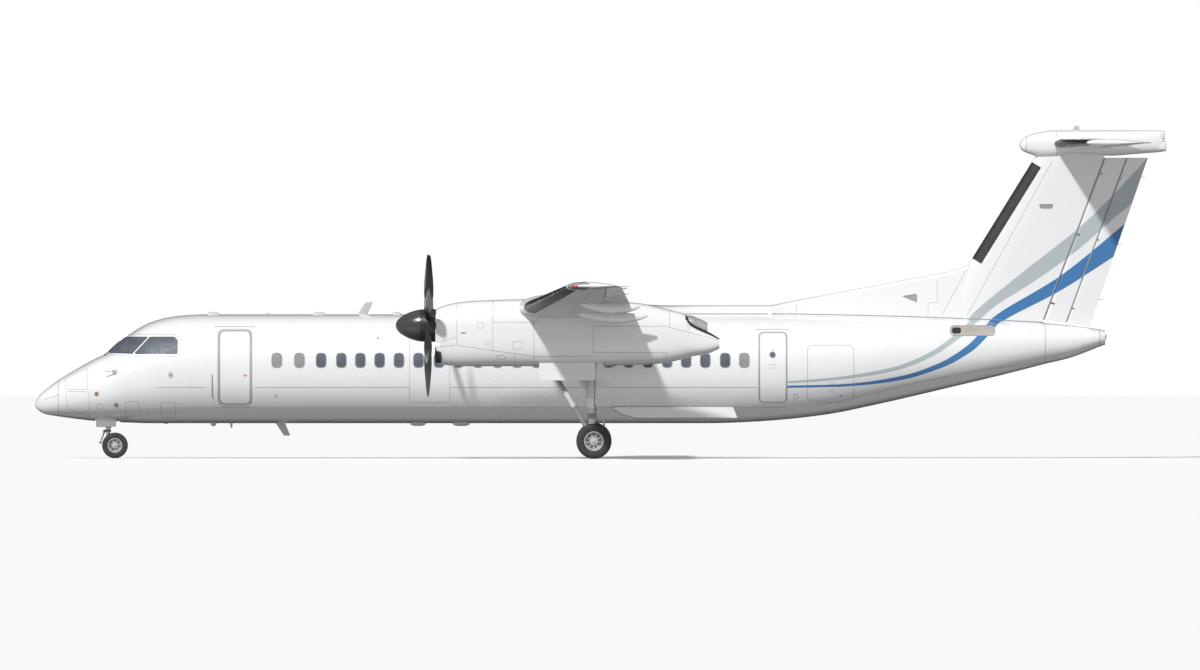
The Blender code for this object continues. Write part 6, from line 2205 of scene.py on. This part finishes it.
for side in (-1, 1):
    x, z = spot(115.0, 372.3)
    root = hull.at(x, hull.angle(x, z, side))
    out, ahead = hull.normal(x, hull.angle(x, z, side)), Vector((-1, 0, 0))
    head = root + out * 0.105
    bend = [root - out * 0.02, root + out * 0.04, head + ahead * 0.03, head + ahead * 0.10]
    add_tube(probes, smooth_line(bend, 5), 0.017, 14)
    add_tube(probes, [head + ahead * reach for reach in (0.09, 0.22, 0.29)], [0.016, 0.014, 0.008], 14)
    disc(probes, 115.0, 372.3, 0.075, side, 0.006)
    disc(probes, 171.0, 374.8, 0.050, side, 0.010)
    circle(rings_bm, 171.0, 374.8, 0.080, side)
    disc(brass, 96.6, 393.9, 0.055, side)
    circle(rings_bm, 96.6, 393.9, 0.062, side, 0.010, 0.004)
    x, z = spot(116.3, 405.0)
    root = hull.at(x, hull.angle(x, z, side))
    out = hull.normal(x, hull.angle(x, z, side))
    disc(darks, 116.3, 405.0, 0.055, side, 0.006)
    add_tube(probes, [root, root + out * 0.06, root + out * 0.065], [0.022, 0.016, 0.004], 14)
    vane = [(x - 0.02, z - 0.008), (x + 0.10, z - 0.020), (x + 0.10, z - 0.004), (x, z + 0.012)]
    add_prism(probes, vane, 1, *sorted((root.y + side * 0.040, root.y + side * 0.052)))
    circle(rings_bm, 276.2, 396.2, 0.040, side)
    disc(darks, 378.0, 338.3, 0.022, side)
    circle(rings_bm, 795.5, 396.0, 0.070, side)
    disc(darks, 772.5, 354.8, 0.075, side, 0.004)
    circle(rings_bm, 772.5, 354.8, 0.088, side, 0.014, 0.008)
    disc(reds, 772.5, 349.9, 0.022, side)
    add_rim(reds, hull, box_outline(*spot(769.5, 368.2), *spot(776.0, 364.5), 0.03), side, 0.05, 0.008)
disc(darks, 840.7, 395.7, 0.022, -1)
# Handrail beside the boarding door: its feet sink into the skin
RAIL_PX = 212.3
rail = [hull_point(RAIL_PX, py, -1, 0.030) for py in (375.5, 382.0, 389.0, 396.0)]
feet = [hull_point(RAIL_PX, py, -1, -0.01) for py in (374.5, 397.0)]
add_tube(rings_bm, smooth_line([feet[0], *rail, feet[1]], 6), 0.011, 12)
piece("air_data_probes", probes, BARE_METAL, "airframe")
piece("fitting_outlines", rings_bm, LINE, "airframe")
piece("static_ports", brass, BRASS, "airframe", outward=False)
piece("small_ports", darks, GLASS, "airframe", outward=False)
piece("door_handle_marks", reds, RED_MARK, "airframe")
bm = bmesh.new()
mark = [(x, hull.angle(x, z, -1)) for x, z in oval(*spot(245.5, 375.5), 0.05, 0.028, 24)]
add_patch(bm, [mark], on_hull, lift=0.003, depth=0.01, cells=(0.3, 0.3))
piece("boarding_door_mark", bm, RED_MARK, "boarding_door", outward=False)

# Legs and doors


def add_torque_link(bm, y, base, apex, wide, narrow, radius):
    """Two arms that close from a wide base to a narrow apex, with a web and pins."""
    (x0, z0), (x1, z1) = base, apex
    for side in (-1, 1):
        add_tube(bm, [(x0, y + side * wide, z0), (x1, y + side * narrow, z1)], [radius, radius * 0.75], 14)
    add_pin(bm, x0, y, z0, wide + 0.02, radius * 1.1, 16)
    add_pin(bm, x1, y, z1, narrow + 0.022, radius * 1.05, 16)
    half = wide * 0.55 + narrow * 0.45
    add_pin(bm, x0 * 0.55 + x1 * 0.45, y, z0 * 0.55 + z1 * 0.45, half, radius * 0.6, 12)


def add_lugs(bm, y, corners):
    """A pair of lugs, one to each side of y."""
    for shift in (-1, 1):
        add_prism(bm, softened(corners, 0.03, 3), 1, *sorted((y + shift * 0.078, y + shift * 0.100)))


def add_gear_door(bm, y, outward, skin, thick, bars, deep):
    """A flat door skin with its outer face at y, and pressed bars on its inner face."""
    add_prism(bm, skin, 1, *sorted((y, y - outward * thick)))
    low, high = sorted((y - outward * (thick - 0.0005), y - outward * deep))
    for bar in bars:
        add_prism(bm, bar, 1, low, high)


STRUT = ((-1.62, 2.925), (-0.37, 0.84))
for label, side in SIDES:
    y = side * NACELLE_Y
    # Casing, with collars, its web plates and the upper torque link
    bm = bmesh.new()
    casing = [
        (0.0, 3.0997), (0.120, 3.0997), (0.128, 3.05), (0.128, 2.90), (0.150, 2.80), (0.155, 2.70),
        (0.155, 2.30), (0.150, 2.29), (0.150, 2.27), (0.155, 2.26), (0.155, 1.80), (0.151, 1.770),
        (0.140, 1.762), (0.140, 1.46), (0.148, 1.45), (0.148, 1.415), (0.142, 1.4055), (0.0, 1.4055),
    ]
    add_turned(bm, casing, (MAIN_LEG_X, y, 0), "Z", 56)
    for shift in (-0.030, 0.018):
        web = softened([(-0.62, 2.27), (-0.20, 2.30), (-0.24, 1.76), (-0.36, 1.80)], 0.05, 4)
        add_prism(bm, web, 1, y + shift, y + shift + 0.012)
    add_pin(bm, -0.56, y, 2.235, 0.045, 0.035, 18)
    add_lugs(bm, y, [(-0.22, 1.58), (-0.10, 1.56), (-0.085, 1.48), (-0.15, 1.44), (-0.24, 1.45)])
    piece(
        "main_leg_casing_" + label, bm, GEAR_WHITE, "airframe", ["main_leg_" + label], bevel=0.003,
        slot="gear_paint"
    )
    bm = bmesh.new()
    sleeve = [
        (0.136, 1.752), (0.143, 1.748), (0.1435, 1.730), (0.1435, 1.492), (0.143, 1.474), (0.136, 1.470)
    ]
    add_turned(bm, sleeve, (MAIN_LEG_X, y, 0), "Z", 56)
    piece("main_leg_sleeve_" + label, bm, WHITE, "airframe", slot="white_paint")
    bm = bmesh.new()
    add_torque_link(bm, y, (-0.13, 1.50), (0.10, 1.03), 0.070, 0.018, 0.026)
    piece("upper_torque_link_" + label, bm, GEAR_WHITE, "airframe", slot="gear_paint")

    # Piston and the knuckle that carries the axle
    bm = bmesh.new()
    piston = [
        (0.0, 1.405), (0.104, 1.405), (0.104, 1.375), (0.098, 1.370), (0.098, 1.325), (0.100, 1.320),
        (0.100, 0.915), (0.0, 0.915),
    ]
    add_turned(bm, piston, (MAIN_LEG_X, y, 0), "Z", 48)
    piece("main_piston_" + label, bm, CHROME, "airframe", slot="gear_steel")
    bm = bmesh.new()
    for collar in (
        ((0.0, 1.315), (0.112, 1.315), (0.116, 1.300), (0.116, 1.175), (0.112, 1.160), (0.0, 1.160)),
        ((0.0, 0.96), (0.112, 0.96), (0.122, 0.945), (0.122, 0.86), (0.112, 0.80), (0.0, 0.80)),
    ):
        add_turned(bm, collar, (MAIN_LEG_X, y, 0), "Z", 48)
    knuckle = [(-0.345, 0.90), (-0.13, 0.92), (-0.09, 0.60), (-0.12, 0.44), (-0.25, 0.42), (-0.30, 0.52)]
    add_prism(bm, softened(knuckle, 0.06, 5), 1, y - 0.070, y + 0.070)
    boss = [(0.0456, 0.175), (0.080, 0.175), (0.085, 0.168), (0.085, 0.105), (0.096, 0.098)]
    boss = [(r, -a) for r, a in boss] + boss[::-1]
    add_turned(bm, boss, (MAIN_WHEEL[0], y, MAIN_WHEEL[1]), "Y", 48)
    add_lugs(bm, y, [(-0.22, 0.74), (-0.13, 0.73), (-0.10, 0.66), (-0.16, 0.60), (-0.24, 0.62)])
    piece(
        "axle_knuckle_" + label, bm, GEAR_GREY, "airframe", ["main_axle_" + label], bevel=0.004,
        slot="gear_steel"
    )
    bm = bmesh.new()
    add_torque_link(bm, y, (-0.155, 0.67), (0.10, 0.955), 0.070, 0.044, 0.024)
    add_tube(bm, [(0.10, y, z) for z in (0.925, 0.955, 1.03, 1.06)], [0.020, 0.030, 0.030, 0.020], 16)
    piece("lower_torque_link_" + label, bm, GEAR_WHITE, "airframe", slot="gear_paint")

    # Brake packs beside the knuckle, with their pistons
    bm = bmesh.new()
    disc_stack = [
        (0.097, 0.100), (0.165, 0.100), (0.170, 0.104), (0.170, 0.116), (0.160, 0.118), (0.160, 0.124),
        (0.170, 0.126), (0.170, 0.140), (0.160, 0.142), (0.160, 0.148), (0.170, 0.150), (0.170, 0.162),
        (0.165, 0.166), (0.097, 0.166),
    ]
    for shift in (-1, 1):
        add_turned(bm, [(r, shift * a) for r, a in disc_stack], (MAIN_WHEEL[0], y, MAIN_WHEEL[1]), "Y", 48)
        for i in range(6):
            turn = math.radians(30 + 60 * i)
            x, z = MAIN_WHEEL[0] + 0.132 * math.sin(turn), MAIN_WHEEL[1] + 0.132 * math.cos(turn)
            add_tube(bm, [(x, y + shift * 0.088, z), (x, y + shift * 0.105, z)], 0.022, 14)
    piece("brake_packs_" + label, bm, STEEL, "airframe", slot="gear_steel")

    # Drag strut: a painted sleeve between darker ends, with a forked foot and a cross pin in the bay
    top, foot = Vector((STRUT[0][0], y, STRUT[0][1])), Vector((STRUT[1][0], y, STRUT[1][1]))
    along = (foot - top).normalized()

    def station(height):
        """The place on the strut at a height of the side view."""
        return top.lerp(foot, (top.z - height) / (top.z - foot.z))

    upper, lower = station(1.95), station(1.486)
    bm = bmesh.new()
    add_tube(bm, [upper, lower], 0.080, 32)
    piece("drag_strut_sleeve_" + label, bm, GEAR_WHITE, "airframe", bevel=0.004, slot="gear_paint")
    bm = bmesh.new()
    step = upper - along * 0.02
    add_tube(bm, [top, step, step, upper + along * 0.03], [0.068, 0.068, 0.084, 0.084], 28)
    step = lower + along * 0.02
    add_tube(bm, [lower - along * 0.03, step, step, foot - along * 0.10], [0.084, 0.084, 0.066, 0.066], 28)
    add_tube(bm, [foot - along * 0.16, foot - along * 0.12, foot + along * 0.02], [0.060, 0.078, 0.070], 24)
    add_pin(bm, foot.x, y, foot.z, 0.085, 0.050, 24)
    add_pin(bm, top.x, y, top.z, BAY_HALF - 0.0003, 0.060, 32)
    for shift in (-0.30, -0.14, 0.14, 0.30):
        add_pin(bm, top.x, y + shift, top.z, 0.02, 0.072, 32)
    piece("drag_strut_" + label, bm, GEAR_GREY, "airframe", slot="gear_paint")
    # Brake hoses: aft of the leg's middle, out from it, z
    bm = bmesh.new()
    for shift in (-1, 1):
        hose = [
            (MAIN_LEG_X + aft, y + shift * out, z)
            for aft, out, z in (
                (0.10, 0.115, 2.60), (0.10, 0.125, 2.10), (0.09, 0.120, 1.62), (0.13, 0.115, 1.36),
                (0.15, 0.105, 1.12), (0.11, 0.095, 0.90), (0.12, 0.092, 0.72),
            )
        ]
        hose.append((MAIN_WHEEL[0] + 0.07, y + shift * 0.092, 0.62))
        add_tube(bm, smooth_line(hose, 5), 0.009, 10)
    piece("brake_hoses_" + label, bm, HOSE, "airframe")

    # Gear doors: a skin with rounded corners and a pressed inner frame
    for kind, edge in (("inner", -side), ("outer", side)):
        bars = [box_outline(-1.74, 2.29, -0.19, 2.33, 0.012), box_outline(-1.74, 2.62, -0.19, 2.66, 0.012)]
        bars += [
            box_outline(x - 0.018, 2.31, x + 0.018, 2.64, 0.008)
            for x in (-1.71, -1.34, -0.96, -0.58, -0.22)
        ]
        skin = box_outline(-1.772, 2.262, -0.155, 2.800, 0.05)
        bm = bmesh.new()
        add_gear_door(bm, y + edge * (BAY_HALF - 0.0003), edge, skin, 0.014, bars, 0.030)
        piece(
            "gear_door_%s_skin_%s" % (kind, label), bm, WHITE, "airframe",
            ["main_gear_door_%s_%s" % (kind, label)], bevel=0.003, slot="white_paint",
        )

# Nose leg, fork and doors
bm = bmesh.new()
casing = [
    (0.0, 1.4997), (0.075, 1.4997), (0.080, 1.47), (0.080, 1.32), (0.090, 1.30), (0.090, 1.16), (0.084, 1.15),
    (0.084, 1.06), (0.090, 1.05), (0.090, 0.99), (0.085, 0.98), (0.085, 0.93), (0.090, 0.92), (0.090, 0.885),
    (0.086, 0.8803), (0.0, 0.8803),
]
add_turned(bm, casing, (NOSE_LEG_X, 0, 0), "Z", 48)
piece("nose_leg_casing", bm, GEAR_GREY, "airframe", ["nose_leg"], slot="gear_paint")
bm = bmesh.new()
piston = [(0.0, 0.8797), (0.064, 0.8797), (0.064, 0.84), (0.058, 0.835), (0.058, 0.56), (0.0, 0.56)]
add_turned(bm, piston, (NOSE_LEG_X, 0, 0), "Z", 40)
piece("nose_piston", bm, CHROME, "nose_steering_leg", slot="gear_steel")
bm = bmesh.new()
for collar in (
    ((0.0, 0.835), (0.070, 0.835), (0.078, 0.828), (0.078, 0.765), (0.070, 0.758), (0.0, 0.758)),
    ((0.0, 0.62), (0.066, 0.62), (0.072, 0.60), (0.074, 0.46), (0.068, 0.42), (0.0, 0.40)),
):
    add_turned(bm, collar, (NOSE_LEG_X, 0, 0), "Z", 40)
fork = [
    (NOSE_LEG_X - 0.075, 0.50), (NOSE_LEG_X - 0.045, 0.345), (NOSE_WHEEL[0], 0.300),
    (NOSE_WHEEL[0] + 0.062, 0.371), (NOSE_WHEEL[0], 0.444), (NOSE_LEG_X + 0.07, 0.52),
]
add_prism(bm, softened(fork, 0.05, 5), 1, -0.052, 0.052)
boss = [(0.0356, -0.064), (0.056, -0.064), (0.060, -0.058), (0.060, 0.058), (0.056, 0.064), (0.0356, 0.064)]
add_turned(bm, boss, (NOSE_WHEEL[0], 0, NOSE_WHEEL[1]), "Y", 40)
piece("nose_fork_casting", bm, GEAR_GREY, "nose_steering_leg", ["nose_fork"], bevel=0.004, slot="gear_steel")
bm = bmesh.new()
joint = (NOSE_LEG_X - 0.232, 0.452)
pivot = (NOSE_LEG_X - 0.108, 0.785)
add_torque_link(bm, 0.0, pivot, joint, 0.042, 0.024, 0.024)
add_torque_link(bm, 0.0, (NOSE_LEG_X - 0.055, 0.470), joint, 0.045, 0.026, 0.020)
for (x, z), radius in ((pivot, 0.046), (joint, 0.040)):
    add_pin(bm, x, 0, z, 0.050, radius, 24)
front, back = pivot[0] - 0.02, NOSE_LEG_X - 0.05
add_prism(
    bm, softened([(front, 0.745), (back, 0.765), (back, 0.828), (front, 0.825)], 0.012, 3), 1, -0.032, 0.032
)
piece("nose_torque_links", bm, GEAR_GREY, "nose_steering_leg", slot="gear_paint")
for label, side in SIDES:
    bars = [box_outline(-14.60, 0.925, -14.08, 0.950, 0.008), box_outline(-14.60, 1.10, -14.08, 1.13, 0.008)]
    bars += [box_outline(x - 0.012, 0.94, x + 0.012, 1.12, 0.005) for x in (-14.58, -14.34, -14.10)]
    skin = softened([(-14.63, 0.900), (-14.055, 0.912), (-14.05, 1.200), (-14.63, 1.200)], 0.04)
    bm = bmesh.new()
    add_gear_door(bm, side * (0.26 - 0.0003), side, skin, 0.010, bars, 0.022)
    piece(
        "nose_door_skin_" + label, bm, WHITE, "airframe", ["nose_door_" + label], bevel=0.002,
        slot="white_paint"
    )

# Studio

# A pale floor that fades into the white of the picture, and is left out of diffuse light
floor_paint = bpy.data.materials.new("floor_paint")
floor_paint.use_nodes = True
for socket, value in (
    ("Base Color", (0.93, 0.93, 0.93, 1)),
    ("Roughness", 0.9),
    ("Emission Color", (1, 1, 1, 1)),
    ("Emission Strength", 0.07),
):
    floor_paint.node_tree.nodes["Principled BSDF"].inputs[socket].default_value = value
bm = bmesh.new()
add_box(bm, (-700, -620, -0.02), (700, 900, -0.001))
floor = as_object("floor", bm, floor_paint, outward=False)
floor.visible_diffuse = False
floor.visible_glossy = False

# A white sky for the camera, and a graded one for light. From straight down at 0 to straight up at 1: place,
# red and green, blue
SKY = ((0.02, 0.16, 0.165), (0.26, 0.76, 0.765), (0.48, 0.42, 0.425), (0.80, 0.40, 0.40))
# The light dims from this share of the way across to the far side, to a little
DIM_FROM, DIM_TO, DIM_LIGHT = 0.45, 0.85, 0.04
world = bpy.data.worlds.new("studio_sky")
scene.world = world
world.use_nodes = True
nodes, links = world.node_tree.nodes, world.node_tree.links
nodes.clear()
where = nodes.new("ShaderNodeTexCoord")
split = nodes.new("ShaderNodeSeparateXYZ")
links.new(where.outputs["Generated"], split.inputs["Vector"])
height = map_range(nodes, links, split.outputs["Z"], (-1.0, 1.0))
ramp = nodes.new("ShaderNodeValToRGB")
links.new(height.outputs["Result"], ramp.inputs["Fac"])
stops = ramp.color_ramp.elements
stops[0].position, stops[1].position = SKY[0][0], SKY[-1][0]
for place, _, _ in SKY[1:-1]:
    stops.new(place)
for stop, (_, grey, blue) in zip(stops, SKY):
    stop.color = (grey, grey, blue, 1)
card = map_range(nodes, links, split.outputs["Y"], (DIM_FROM, DIM_TO), (1.0, DIM_LIGHT))
card.interpolation_type = "SMOOTHSTEP"
light = nodes.new("ShaderNodeBackground")
links.new(ramp.outputs["Color"], light.inputs["Color"])
links.new(card.outputs["Result"], light.inputs["Strength"])
seen = nodes.new("ShaderNodeBackground")
seen.inputs["Color"].default_value = (1, 1, 1, 1)
seen.inputs["Strength"].default_value = 1.0
path = nodes.new("ShaderNodeLightPath")
mix = nodes.new("ShaderNodeMixShader")
links.new(path.outputs["Is Camera Ray"], mix.inputs["Fac"])
links.new(light.outputs["Background"], mix.inputs[1])
links.new(seen.outputs["Background"], mix.inputs[2])
output = nodes.new("ShaderNodeOutputWorld")
links.new(mix.outputs["Shader"], output.inputs["Surface"])

SUN_DIRECTION = (0.43, 1.0, -1.0)
sun = bpy.data.objects.new("sun", bpy.data.lights.new("sun", "SUN"))
sun.data.energy = 3.0
sun.data.angle = math.radians(3)
sun.rotation_euler = Vector(SUN_DIRECTION).to_track_quat("-Z", "Y").to_euler()
scene.collection.objects.link(sun)

# A long lens far away, level with the aircraft, as in a drawing
CAMERA_PLACE = (-0.016, -870.15, 3.572)
camera = bpy.data.objects.new("camera", bpy.data.cameras.new("camera"))
camera.data.sensor_width = 36
camera.data.lens = 900
camera.data.clip_start = 10
camera.data.clip_end = 4000
camera.location = CAMERA_PLACE
camera.rotation_euler = (math.radians(90), 0, 0)
scene.collection.objects.link(camera)
scene.camera = camera
scene.view_settings.view_transform = "Standard"
